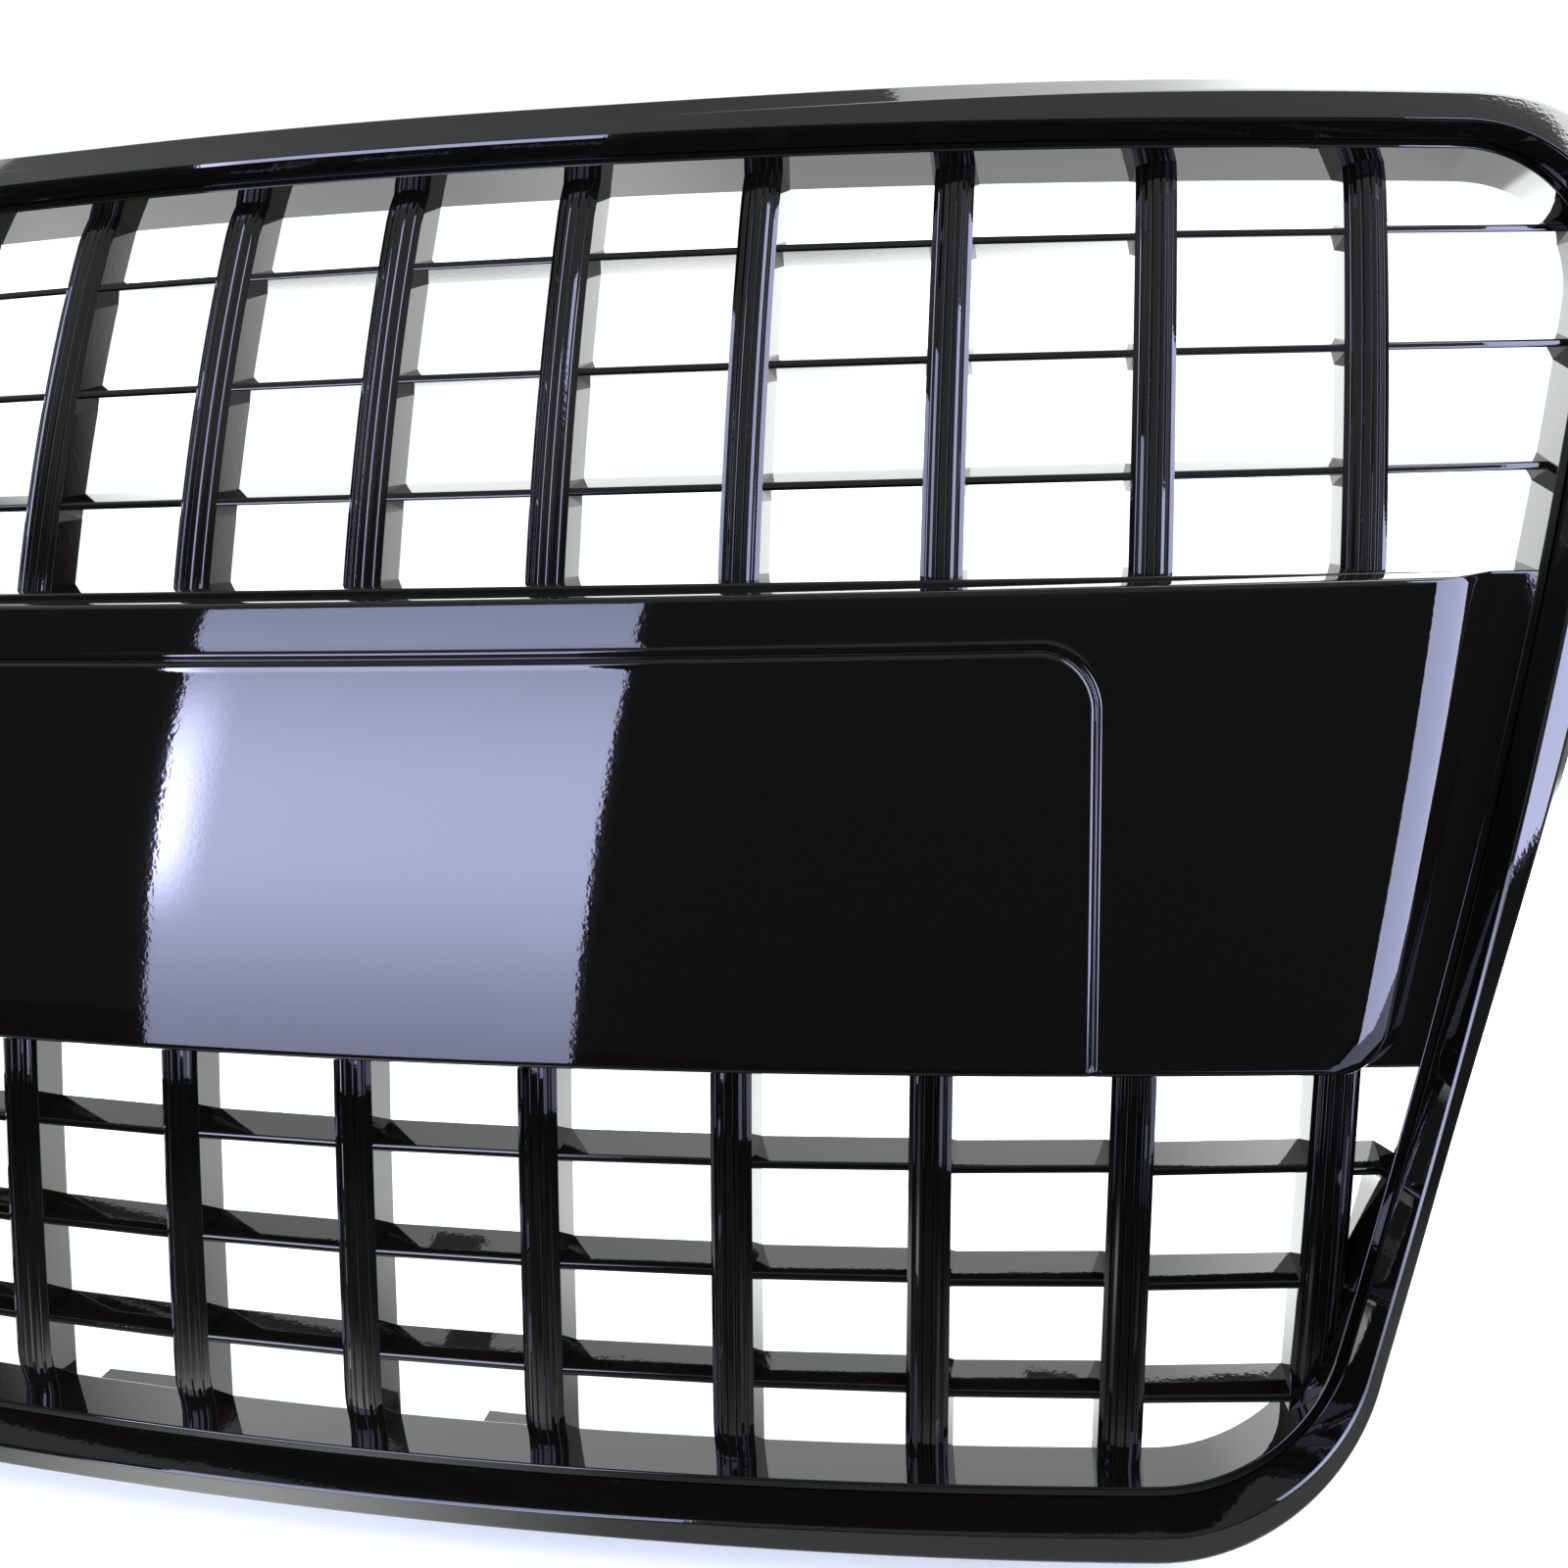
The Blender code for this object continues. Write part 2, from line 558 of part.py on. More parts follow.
def screw_places():
    """For each screw the way outward (1 up, -1 down) and the point of the rail's back face it enters."""
    places = {}
    for label, x in zip(SCREW_LABELS, TOP_SCREWS):
        z = LIP_TOP - LIP_TOP_CURVE * x * x + RAIL_MIDDLE
        places["top_" + label] = (1, on_face(x, z, -RAIL_BACK))
    for label, x in zip(SCREW_LABELS, BOTTOM_SCREWS):
        z = LIP_BOTTOM + LIP_BOTTOM_CURVE * x * x - RAIL_MIDDLE
        places["bottom_" + label] = (-1, on_face(x, z, -RAIL_BACK))
    return places


def face_frame(point):
    """Frame at a point with w square to the sheet, pointing to the back, and v nearly upward."""
    step = 0.001
    x, z = point.x, point.z
    along = Vector((2 * step, face(x + step, z) - face(x - step, z), 0)).normalized()
    rise = Vector((0, face(x, z + step) - face(x, z - step), 2 * step))
    normal = rise.cross(along).normalized()
    upward = along.cross(normal)
    if normal.y < 0:
        normal, upward = -normal, -upward
    turn = Matrix((along, upward, normal)).transposed().to_4x4()
    return Matrix.Translation(point) @ turn


def backward(point):
    """Frame at a point with w along +Y (to the back), u along X and v along Z."""
    turn = Matrix(((1, 0, 0, 0), (0, 0, 1, 0), (0, 1, 0, 0), (0, 0, 0, 1)))
    return Matrix.Translation(point) @ turn


def screw_holes(screws):
    """Blind holes of the rim's rail, as one cutter."""
    sides = HOLE_SIDES
    verts, faces = [], []
    for _, point in screws.values():
        start = len(verts)
        frame = face_frame(point)
        for w in (-HOLE_REACH, CUT_REACH):
            verts += [frame @ Vector((u, v, w)) for u, v in circle(SCREW_SHANK + FIT_GAP, sides)]
        faces.append(tuple(start + i for i in range(sides)))
        faces.append(tuple(start + sides + i for i in range(sides)))
        for i in range(sides):
            j = (i + 1) % sides
            faces.append((start + i, start + j, start + sides + j, start + sides + i))
    return hide_as_cutter(new_object("screw_hole_cutter", verts, faces, None))


def bracket(name, up, point, material):
    """Bent fixing tab: a foot on the rim's rail, an arm to the back and a flat slotted ear square to Y."""
    ear_back = TOP_EAR_Y if up > 0 else BOTTOM_EAR_Y
    outer, inner = TAB_OUTER * up, -TAB_INNER * up
    bend = outer - up * TAB_THICK
    foot = ((inner, 0), (outer, 0), (bend, TAB_THICK), (inner, TAB_THICK))
    ear = ((outer, ear_back - TAB_THICK), (outer + up * TAB_EAR, ear_back - TAB_THICK),
           (outer + up * TAB_EAR, ear_back), (bend, ear_back))
    rings = []
    for u in (-TAB_WIDTH / 2, TAB_WIDTH / 2):
        x = point.x + u
        ring = [on_face(x, point.z + z, -RAIL_BACK - GAP - depth) for z, depth in foot]
        ring[2:2] = [Vector((x, y, point.z + z)) for z, y in ear]
        rings.append(ring)
    body = loft(name, rings, material)
    round_hole = circle(TAB_HOLE, HOLE_SIDES)
    hole = prism(name + "_hole", round_hole, -CUT_REACH / 2, CUT_REACH, face_frame(point), None)
    add_boolean(body, hide_as_cutter(hole), "DIFFERENCE")
    middle = Vector((point.x, ear_back, point.z + outer + up * TAB_EAR / 2))
    cut = prism(name + "_slot", SLOT_CORNERS, -CUT_REACH, CUT_REACH, backward(middle), None)
    add_boolean(body, hide_as_cutter(cut), "DIFFERENCE")
    return body


def screw(name, point, material):
    """Pan-head tapping screw: its head stands off the tab and its shank ends in the rail's blind hole."""
    frame = face_frame(point)
    lean = frame.col[2].y
    head = (TAB_THICK + GAP) * lean + GAP
    profile = [(SCREW_SHANK, FIT_GAP - HOLE_REACH), (SCREW_SHANK, head), (SCREW_HEAD, head),
               (SCREW_HEAD, head + SCREW_EDGE_HEIGHT),
               (SCREW_HEAD * SCREW_CROWN, head + SCREW_CROWN_HEIGHT)]
    rings = [[frame @ Vector((u, v, w)) for u, v in circle(radius, SCREW_FACETS)]
             for radius, w in profile]
    return loft(name, rings, material)


def locating_pad(material):
    """Block bonded behind the plate panel; its flat rear face is the datum."""
    u, v, chamfer = PAD_HALF_WIDTH, PAD_HALF_HEIGHT, PAD_CHAMFER
    corners = [(-u, -v + chamfer), (-u + chamfer, -v), (u - chamfer, -v), (u, -v + chamfer),
               (u, v - chamfer), (u - chamfer, v), (-u + chamfer, v), (-u, v - chamfer)]
    front = [on_face(x, z, LIP_HEIGHT - CARRIER_WALL - GAP) for x, z in corners]
    back = [Vector((x, 0, z)) for x, z in corners]
    return loft("locating_pad", [front, back], material)


def build():
    """Makes every piece and puts them under one root."""
    clear_scene()
    materials = make_materials()
    gloss = materials["gloss_black"]
    root = bpy.data.objects.new("front_grille", None)
    bpy.context.scene.collection.objects.link(root)
    opening = opening_cutter()
    screws = screw_places()
    pieces = [surround_frame(gloss), insert_rim(gloss, screws)]
    clearance = SEAM + CARRIER_DRAFT * (LIP_HEIGHT + MESH_BACK)
    upper_end = CARRIER_TOP + clearance
    lower_end = CARRIER_BOTTOM - clearance
    pieces.append(lattice("upper_mesh", UPPER_SLATS, (MESH_HIGH_END, upper_end), opening, gloss))
    pieces.append(lattice("lower_mesh", LOWER_SLATS, (lower_end, MESH_LOW_END), opening, gloss))
    pieces.append(panel_carrier(opening, gloss))
    pieces.append(plate_panel(groove_cutter(), gloss))
    strip_gloss = materials["gloss_black_strip"]
    for number in range(2 * BARS_PER_SIDE):
        bar = number - BARS_PER_SIDE + 0.5
        label = f"{number + 1:02d}"
        upper_name, lower_name = "upper_strip_" + label, "lower_strip_" + label
        pieces.append(trim_strip(upper_name, bar, upper_end, MESH_HIGH_END, opening, strip_gloss))
        pieces.append(trim_strip(lower_name, bar, MESH_LOW_END, lower_end, opening, strip_gloss))
    for label, (up, point) in screws.items():
        pieces.append(bracket("bracket_" + label, up, point, materials["black_plastic"]))
        pieces.append(screw("screw_" + label, point, materials["zinc_steel"]))
    pieces.append(locating_pad(materials["grey_foam"]))
    for piece in pieces:
        piece.parent = root


build()
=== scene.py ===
"""Looks for the front grille: fine gloss-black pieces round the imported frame, in a pale studio.

Metres, +Z up, -Y forward. Shapes follow the same convex face sheet as the frame: y = face(x, z).
"""

import math

import bmesh
import bpy
import numpy as np
from mathutils import Matrix, Vector


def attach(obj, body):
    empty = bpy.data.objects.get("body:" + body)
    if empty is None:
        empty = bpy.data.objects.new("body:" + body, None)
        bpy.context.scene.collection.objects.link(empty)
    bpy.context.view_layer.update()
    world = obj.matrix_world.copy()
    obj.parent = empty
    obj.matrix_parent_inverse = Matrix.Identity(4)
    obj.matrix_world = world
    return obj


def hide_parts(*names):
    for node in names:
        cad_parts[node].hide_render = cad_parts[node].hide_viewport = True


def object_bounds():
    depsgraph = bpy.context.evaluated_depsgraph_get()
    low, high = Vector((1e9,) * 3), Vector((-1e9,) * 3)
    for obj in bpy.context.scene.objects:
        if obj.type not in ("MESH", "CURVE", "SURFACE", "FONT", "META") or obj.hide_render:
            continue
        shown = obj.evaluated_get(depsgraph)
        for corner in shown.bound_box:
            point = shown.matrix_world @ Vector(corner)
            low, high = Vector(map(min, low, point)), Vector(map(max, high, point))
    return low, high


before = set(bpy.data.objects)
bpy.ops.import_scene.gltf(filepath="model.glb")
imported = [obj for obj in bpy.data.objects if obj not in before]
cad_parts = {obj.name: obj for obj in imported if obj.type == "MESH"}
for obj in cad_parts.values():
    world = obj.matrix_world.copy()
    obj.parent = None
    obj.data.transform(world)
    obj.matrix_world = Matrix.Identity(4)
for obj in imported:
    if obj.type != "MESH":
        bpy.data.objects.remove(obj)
cad_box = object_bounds()

MM = 0.001

# Mesh making: vertices this close are joined, edges bent more than these angles (degrees) stay crisp, and a
# rounding takes up at most this share of the edge beside it.
WELD = 0.000001
SHARP, SHARP_MESH, SHARP_TRIMMED, SHARP_FINE = 40, 30, 35, 60
ARC_LIMIT = 0.48
NORMAL_WEIGHT = 100

# The face sheet.
DATUM_Z, DATUM_Y = 0.1015, 0.0140
LEAN, BOW, BOW_RISE = 0.3775, 0.8557, 0.9054
CROWN, CROWN_RISE = 0.3157, 0.3715

# The opening's lip: levels at the centre and how fast they curve, the straight sides, and the corners.
LIP_TOP, LIP_TOP_CURVE = 0.2080, 0.032
LIP_BOTTOM, LIP_BOTTOM_CURVE = -0.1990, 0.055
LIP_SIDE, LIP_SIDE_SLOPE = 0.3736, 0.255
TOP_CORNER, BOTTOM_CORNER = 0.038, 0.055
LIP_HEIGHT = 0.0045
CORNER_ROUNDS = 20
FLAT_STEPS, ARC_STEPS, SIDE_STEPS = 48, 26, 40

# The rim's wall leans into the opening by this much: more along the top and less along the bottom.
WALL_INSET, WALL_INSET_TOP, WALL_INSET_BOTTOM = 0.0020, 0.0060, 0.0018

# The rim: rail behind the surround, wall and back.
RAIL_IN, RAIL_WIDTH, RAIL_FRONT, RAIL_BACK = 0.0026, 0.0108, 0.0011, -0.0075
RIM_WALL, RIM_ARC_STEPS = 0.0022, 4
RAIL_LEAN = 0.5
RIM_EDGE, LIP_OUTER_EDGE = 0.0006, 0.0004
LIP_RISE_IN, LIP_RISE_OUT = 0.0002, 0.0004
RAIL_EDGE, RAIL_INNER_EDGE = 0.0003, 0.0005

# Surround: sections in millimetres as (out from the lip, height over the sheet, corner radius). The crest's
# outer face stands steeper; the top takes it on between these two distances from the centre plane.
SIDE_SECTION = [(2.9, 1.6, 0.2), (2.9, 5.0, 0.6), (6.5, 14.9, 0.45), (7.3, 15.55, 0.45), (16.6, 11.7, 4),
                (21.5, 5.3, 1.6), (22.3, 0.0, 3), (22.4, -13.9, 0.3), (20.3, -13.9, 0.3), (19.9, -0.2, 2),
                (15.4, 6.9, 3), (8.6, 11.6, 1), (5.1, 4.6, 0.4), (5.1, 1.6, 0.2)]
CREST_FACE = [(6.5, 14.9, 0.45), (7.7, 15.7, 0.45), (14.0, 12.9, 2), (20.3, 10.0, 1.1), (22.3, 0.0, 3)]
CREST_SECTION = SIDE_SECTION[:2] + CREST_FACE + SIDE_SECTION[7:]
SECTION_ARC_STEPS = 5
RIDGE = 7.2
CREST_SPAN = (-0.34, -0.10)

# Surround's outer face: its width as a share of the section, low and high on the sides and along the runs.
SIDE_SHARE, SIDE_SHARE_GAIN, SIDE_SHARE_LEVELS = 0.45, 0.55, (-0.0985, 0.0815)
TOP_WIDENING, BOTTOM_WIDENING, WIDENING_SPAN = 0.2, 0.12, (0.08, 0.28)
CORNER_WIDENING = 0.5

# Surround's inner slope: turned by moving its upper part out and back, in millimetres.
SLIDE_OUT, SLIDE_BACK, SLIDE_FOOT, SLIDE_RUN = 0.9, 3.2, 4.6, 10
LOW_SIDE_SLIDE, LOW_SIDE_LEVELS, LOW_SIDE_NORMALS = 0.5, (-0.02, 0.09), (0.15, 0.6)

# Bars and slats.
BARS_PER_SIDE = 6
BAR_PITCH = 0.0615
BAR_FAN, BAR_SPLAY, BAR_LEVEL = 0.0741, 0.0752, 0.0115
WEB_HALF, BAR_DRAFT = 0.0064, 0.11
MESH_FRONT, MESH_BACK, MESH_REACH = 0.0020, 0.0130, 0.46
MESH_TOP, MESH_BOTTOM = 0.235, -0.225
SLAT_HALF, SLAT_DRAFT = 0.0011, 0.306
UPPER_SLATS = [DATUM_Z + 0.0378 * i for i in (2, 1, 0)]
LOWER_SLATS = [-0.1021 - 0.0348 * i for i in range(3)]
END_BEND, END_BEND_LENGTH = 0.0034, 0.015
LEVELS_BETWEEN = 4
BEVEL_WIDTH, BEVEL_SEGMENTS, BEVEL_ANGLE = 0.0008, 4, 32
SLAT_BEVEL, WEB_BEVEL, ALONG_SLAT = 1.0, 0.55, 0.8

# Half of a strip's front in millimetres as (offset, depth, corner radius): two grooves and a stepped edge.
STRIP_HALF = [(0.0, 0.0, 0), (0.98, 0.0, 0.12), (1.38, 0.5, 0.1), (1.75, 0.12, 0.2), (2.85, 0.17, 0.25),
              (3.75, 0.9, 0.25), (4.3, 1.0, 0.12), (4.6, 1.35, 0.1), (5.05, 1.05, 0.3), (6.55, 2.1, 0.2)]
STRIP_ARC_STEPS, STRIP_STEPS = 3, 44
STRIP_BACK, STRIP_BACK_HALF = 2.2, 6.4

# The solid that trims the insert to the opening.
CUTTER_GROW, CUTTER_FRONT, CUTTER_BACK, CUTTER_REACH = 0.0007, 0.010, -0.017, 0.14

# Carrier.
CARRIER_TOP, CARRIER_BOTTOM = 0.0732, -0.0695
CARRIER_TOP_CURVE, CARRIER_REACH = 0.016, 0.43
CARRIER_DRAFT, CARRIER_WALL = 0.12, 0.0025
CARRIER_FRONT_EDGE, CARRIER_BACK_EDGE = 0.0009, 0.0005
CARRIER_LEVELS, CARRIER_COLUMNS, CARRIER_INNER_LEVELS, CARRIER_ARC_STEPS = 24, 120, 12, 4
MESH_UNDER_CARRIER, MESH_OVER_FOOT = 0.003, 0.0008

# Plate panel: outline, front, ends, and how its top and bottom edges rise (draft, wall, fillet).
PANEL_TOP, PANEL_LOW = 0.0710, -0.0695
PANEL_FOOT, PANEL_FACE = 0.0047, 0.0123
PANEL_SIDE, PANEL_SIDE_SLOPE, PANEL_CORNER, PANEL_TOP_CORNER = 0.3632, 0.222, 0.012, 0.003
END_CHAMFER, END_CHAMFER_GAIN, END_SHOULDER = 0.0050, 0.0042, 0.0125
END_KNEE, END_ROUNDNESS = 0.66, 2.2
TOP_EDGE, LOW_EDGE = (0.0009, 0.0056, 0.0018), (0.0006, 0.0050, 0.0024)
PANEL_WALL, BACK_NARROWING, BACK_GAP = 0.0025, 0.0016, 0.00002

# The line round the number plate: its path, its groove and the soft lips beside it.
GROOVE_SIDE, GROOVE_TOP, GROOVE_CORNER = 0.2619, 0.0523, 0.0175
GROOVE_DEPTH, GROOVE_WIDTH = 0.0010, 0.00075
GROOVE_LIP, GROOVE_LIP_AT, GROOVE_LIP_WIDTH = 0.00022, 0.0019, 0.0007
GROOVE_FADE, GROOVE_MARGIN = 0.004, 0.003

# The panel's grid: marks of (position, spacing up to the next mark).
GRID_ACROSS = [(0.0, 0.004), (GROOVE_SIDE - GROOVE_CORNER - GROOVE_MARGIN, 0.0004),
               (GROOVE_SIDE + GROOVE_MARGIN, 0.003), (0.3150, 0.0004), (0.3151, 0)]
GRID_UP = [(PANEL_LOW, 0.0003), (PANEL_LOW + 0.0045, 0.003),
           (GROOVE_TOP - GROOVE_CORNER - GROOVE_MARGIN, 0.0004), (GROOVE_TOP + GROOVE_MARGIN, 0.002),
           (PANEL_TOP - 0.0036, 0.00025), (PANEL_TOP, 0)]
GRID_END_COLUMNS = 60

# Gloss plastic: colours, orange peel, slow waves, polish and dust. Scales count features in a metre.
GLOSS_BASE, STRIP_BASE = (0.0032, 0.0026, 0.0018), (0.0030, 0.0025, 0.0018)
GLOSS_IOR, GLOSS_ROUGHNESS, GLOSS_POLISH = 1.52, 0.03, (0.8, 1.25)
PEEL_SCALE, PEEL_DETAIL, PEEL_STRENGTH, PEEL_DEPTH = 620, 1.5, 0.018, 0.0004
WAVE_SCALE, WAVE_DETAIL, WAVE_STRENGTH, WAVE_DEPTH = 26, 1.0, 0.03, 0.002
SPECK_SCALE, SPECK_SIZE, SPECK_RARITY, SPECK_COLOR = 70, 0.017, 0.86, (0.55, 0.56, 0.60)

# Hardware, by the start of a node's name: material, colour, roughness, metallic, grain scale, relief.
HARDWARE = {
    "bracket": ("black_plastic", (0.016, 0.016, 0.017), 0.42, 0.0, 900, 0.25),
    "screw": ("zinc_steel", (0.55, 0.56, 0.58), 0.32, 1.0, 500, 0.10),
    "locating_pad": ("grey_foam", (0.10, 0.10, 0.11), 0.9, 0.0, 1400, 0.6),
}
GRAIN_DETAIL, GRAIN_DEPTH = 3, 0.0003
GRAIN_TONES, GRAIN_POLISH = (0.75, 1.25), (0.8, 1.2)

# Studio. A ramp is (from, to, strength at from, strength at to) along an axis.
LILAC, WHITE = (0.635, 0.665, 1.0), (0.96, 1.0, 0.99)
STAGE_HALF, FLOOR_FRONT, BACKDROP_Y, BACKDROP_TOP = 3, -2.2, 1.32, 1.35
FLOOR_GAP = 0.0006
FLOOR_BEHIND, FLOOR_FAR = (-0.02, 0.14, 0.08, 3.8), (0.37, 0.45, 0.0, 7.0)
FLOOR_NEAR, FLOOR_POOL, FLOOR_POOL_SHIFT = (-0.20, -0.09, 0.0, 1.0), (0.0, 0.14, 2.3, 0.4), 0.01
FLOOR_FADE, FLOOR_FADE_SLANT = (0.36, 0.60, 1.0, 0.03), -0.6
PAPER_COLOR, PAPER_LIFT = (0.80, 0.80, 0.81), 0.34
BACKDROP_SEEN, BACKDROP_SIDES, BACKDROP_RISE = 1.15, (1.0, 1.6, 4.1, 0.06), (0.55, 0.95, 1.0, 0.72)
CEILING_ACROSS, CEILING_RIGHT = (-1.2, 0.4, 1.7, 3.3), (0.45, 0.75, 0.0, 3.4)
CEILING = [(-1.6, 0.46, 1.27), (1.6, 0.46, 1.27), (1.6, 1.31, 1.33), (-1.6, 1.31, 1.33)]
LEFT_BOX = [(-0.70, -0.9, -0.18), (-0.10, -0.9, -0.18), (-0.03, -0.9, 0.63), (-0.75, -0.9, 0.63)]
LEFT_UPPER, LEFT_LOWER = (0.22, 0.68, 1.0, 0.50), (-0.20, 0.16, 0.42, 1.0)
FLARE_EDGE = (-0.72, -0.62, 1.0, 0.0)
FLARE_RISE, FLARE_FALL = (0.0, 0.16, 0.0, 1.0), (0.2, 0.5, 1.0, 0.0)
LEFT_FLARE, LEFT_STRENGTH = 1.8, 14.5
RIGHT_CENTRE, RIGHT_DISTANCE, RIGHT_STRENGTH = (0.36, 0.03), 1.1, 11.0
RIGHT_CORNERS = ((43, -10), (88, -10), (88, 64), (62, 56))
LOW_BOX = [(0.60, -1.0, -0.222), (1.5, -1.0, -0.222), (1.5, -0.16, -0.222), (0.60, -0.16, -0.222)]
LOW_STRENGTH = 2.4
LEFT_STRIP = [(-1.25, -0.45, -0.15), (-1.25, 0.20, -0.15), (-1.25, 0.20, 1.1), (-1.25, -0.45, 1.1)]
LEFT_STRIP_STRENGTH = 7.0
WORLD_OVERHEAD, WORLD_BEHIND = (0.50, 0.66, 0.05, 0.42), (-0.15, 0.30, 0.0, 0.05)
WORLD_SEEN, WORLD_COLOR = 0.93, (0.95, 0.98, 1.0)

# Camera: place, then the turn (axis times angle) from looking straight along +Y.
CAMERA_PLACE = (0.2448, -0.4018 + DATUM_Y, -0.0038 + DATUM_Z)
CAMERA_TURN = (0.2156, 0.1900, -0.0063)
CAMERA_SENSOR, CAMERA_LENS, CAMERA_NEAR = 36, 30.195, 0.01


# ---------------------------------------------------------------- the shared shape

def face(x, z):
    """Depth y of the face sheet; takes numbers or arrays."""
    rise = z - DATUM_Z
    return (DATUM_Y + LEAN * rise + BOW * rise**2 + BOW_RISE * rise**3
            + (CROWN + CROWN_RISE * rise) * x * x)


def on_face(x, z, height):
    """Point in front of the face sheet by a height."""
    return Vector((x, face(x, z) - height, z))


def bar_x(index, z):
    """Centre of a bar at a level; bars lean outward as they rise, the outer ones less."""
    outward = index / (BARS_PER_SIDE - 0.5)
    return index * BAR_PITCH + (z - BAR_LEVEL) * (BAR_SPLAY * outward**3 - BAR_FAN * index * BAR_PITCH)


def smooth_step(low, high, value):
    """Eased step from 0 at low to 1 at high."""
    t = min(1.0, max(0.0, (value - low) / (high - low)))
    return t * t * (3 - 2 * t)


def lip_corner(top):
    """Centre and radius of a corner of the lip, and the outward angles where its arc starts and ends."""
    radius = TOP_CORNER if top else BOTTOM_CORNER
    sign = 1 if top else -1
    level = LIP_TOP if top else LIP_BOTTOM
    curve = LIP_TOP_CURVE if top else LIP_BOTTOM_CURVE
    stretch = math.hypot(1, LIP_SIDE_SLOPE)
    tilt = 0.0
    centre_z = level - sign * radius
    for _ in range(CORNER_ROUNDS):
        centre_x = LIP_SIDE + LIP_SIDE_SLOPE * centre_z - radius * stretch
        touch_x = centre_x + radius * math.sin(tilt)
        tilt = math.atan(2 * curve * touch_x)
        centre_z = level - sign * (curve * touch_x**2 + radius * math.cos(tilt))
    return centre_x, centre_z, radius, sign * (math.pi / 2 - tilt), -math.atan(LIP_SIDE_SLOPE)


def corner_stations(centre_x, centre_z, radius, start, end):
    """Stations (x, z, nx, nz) round one corner's arc."""
    stations = []
    for i in range(ARC_STEPS + 1):
        angle = start + (end - start) * i / ARC_STEPS
        stations.append((centre_x + radius * math.cos(angle), centre_z + radius * math.sin(angle),
                         math.cos(angle), math.sin(angle)))
    return stations


def half_outline():
    """Right half of the lip from the top centre to the bottom centre, as (x, z, nx, nz)."""
    stations = []
    top_x, top_z, top_r, top_start, side_angle = lip_corner(True)
    low_x, low_z, low_r, low_start, _ = lip_corner(False)
    for i in range(FLAT_STEPS):
        x = (top_x + top_r * math.cos(top_start)) * i / FLAT_STEPS
        tilt = math.atan(2 * LIP_TOP_CURVE * x)
        stations.append((x, LIP_TOP - LIP_TOP_CURVE * x * x, math.sin(tilt), math.cos(tilt)))
    stations += corner_stations(top_x, top_z, top_r, top_start, side_angle)
    side_top = Vector(stations[-1][:2])
    side_low = Vector((low_x + low_r * math.cos(side_angle), low_z + low_r * math.sin(side_angle)))
    for i in range(1, SIDE_STEPS):
        point = side_top.lerp(side_low, i / SIDE_STEPS)
        stations.append((point.x, point.y, math.cos(side_angle), math.sin(side_angle)))
    stations += corner_stations(low_x, low_z, low_r, side_angle, low_start)
    for i in range(1, FLAT_STEPS + 1):
        x = (low_x + low_r * math.cos(low_start)) * (1 - i / FLAT_STEPS)
        tilt = math.atan(2 * LIP_BOTTOM_CURVE * x)
        stations.append((x, LIP_BOTTOM + LIP_BOTTOM_CURVE * x * x, math.sin(tilt), -math.cos(tilt)))
    return stations


def full_outline():
    """The whole lip, as stations (x, z, nx, nz)."""
    half = half_outline()
    return half + [(-x, z, -nx, nz) for x, z, nx, nz in reversed(half[1:-1])]


OUTLINE = full_outline()
LIP_POINTS = np.array([(x, z) for x, z, _, _ in OUTLINE])


def wall_inset(nz):
    """How far the rim's wall has moved into the opening at its back."""
    return WALL_INSET + WALL_INSET_TOP * max(nz, 0.0) ** 3 - WALL_INSET_BOTTOM * max(-nz, 0.0)


def outer_share(x, nx, nz, z):
    """Width of the surround's outer face against its section."""
    side = SIDE_SHARE + SIDE_SHARE_GAIN * smooth_step(*SIDE_SHARE_LEVELS, z)
    widening = TOP_WIDENING if nz > 0 else BOTTOM_WIDENING
    level = 1 + widening * smooth_step(*WIDENING_SPAN, abs(x))
    slant = abs(2 * nx * nz)
    corner = CORNER_WIDENING * slant * slant if nz > 0 else 0.0
    return nz * nz * level + (1 - nz * nz) * side + corner


def rounded(points, steps, closed=True):
    """Rounds each corner (u, v, radius) of a section with a smooth curve."""
    out = []
    count = len(points)
    for i, (u, v, radius) in enumerate(points):
        here = Vector((u, v))
        if radius <= 0 or (not closed and i in (0, count - 1)):
            out.append(here)
            continue
        before = Vector(points[i - 1][:2]) - here
        after = Vector(points[(i + 1) % count][:2]) - here
        angle = before.angle(after)
        reach = min(radius / math.tan(angle / 2), ARC_LIMIT * before.length, ARC_LIMIT * after.length)
        start = here + before.normalized() * reach
        end = here + after.normalized() * reach
        for k in range(steps + 1):
            t = k / steps
            out.append(start * (1 - t) ** 2 + here * 2 * t * (1 - t) + end * t * t)
    return [(p.x, p.y) for p in out]


# ---------------------------------------------------------------- mesh helpers

def new_object(name, verts, faces, sharp=SHARP):
    """Smooth-shaded mesh object with its faces turned outward; edges over the sharp angle stay crisp."""
    mesh = bpy.data.meshes.new(name)
    mesh.from_pydata([tuple(v) for v in verts], [], faces)
    body = bmesh.new()
    body.from_mesh(mesh)
    bmesh.ops.remove_doubles(body, verts=body.verts, dist=WELD)
    bmesh.ops.recalc_face_normals(body, faces=body.faces)
    body.to_mesh(mesh)
    body.free()
    mesh.shade_smooth()
    mesh.set_sharp_from_angle(angle=math.radians(sharp))
    obj = bpy.data.objects.new(name, mesh)
    bpy.context.scene.collection.objects.link(obj)
    return obj


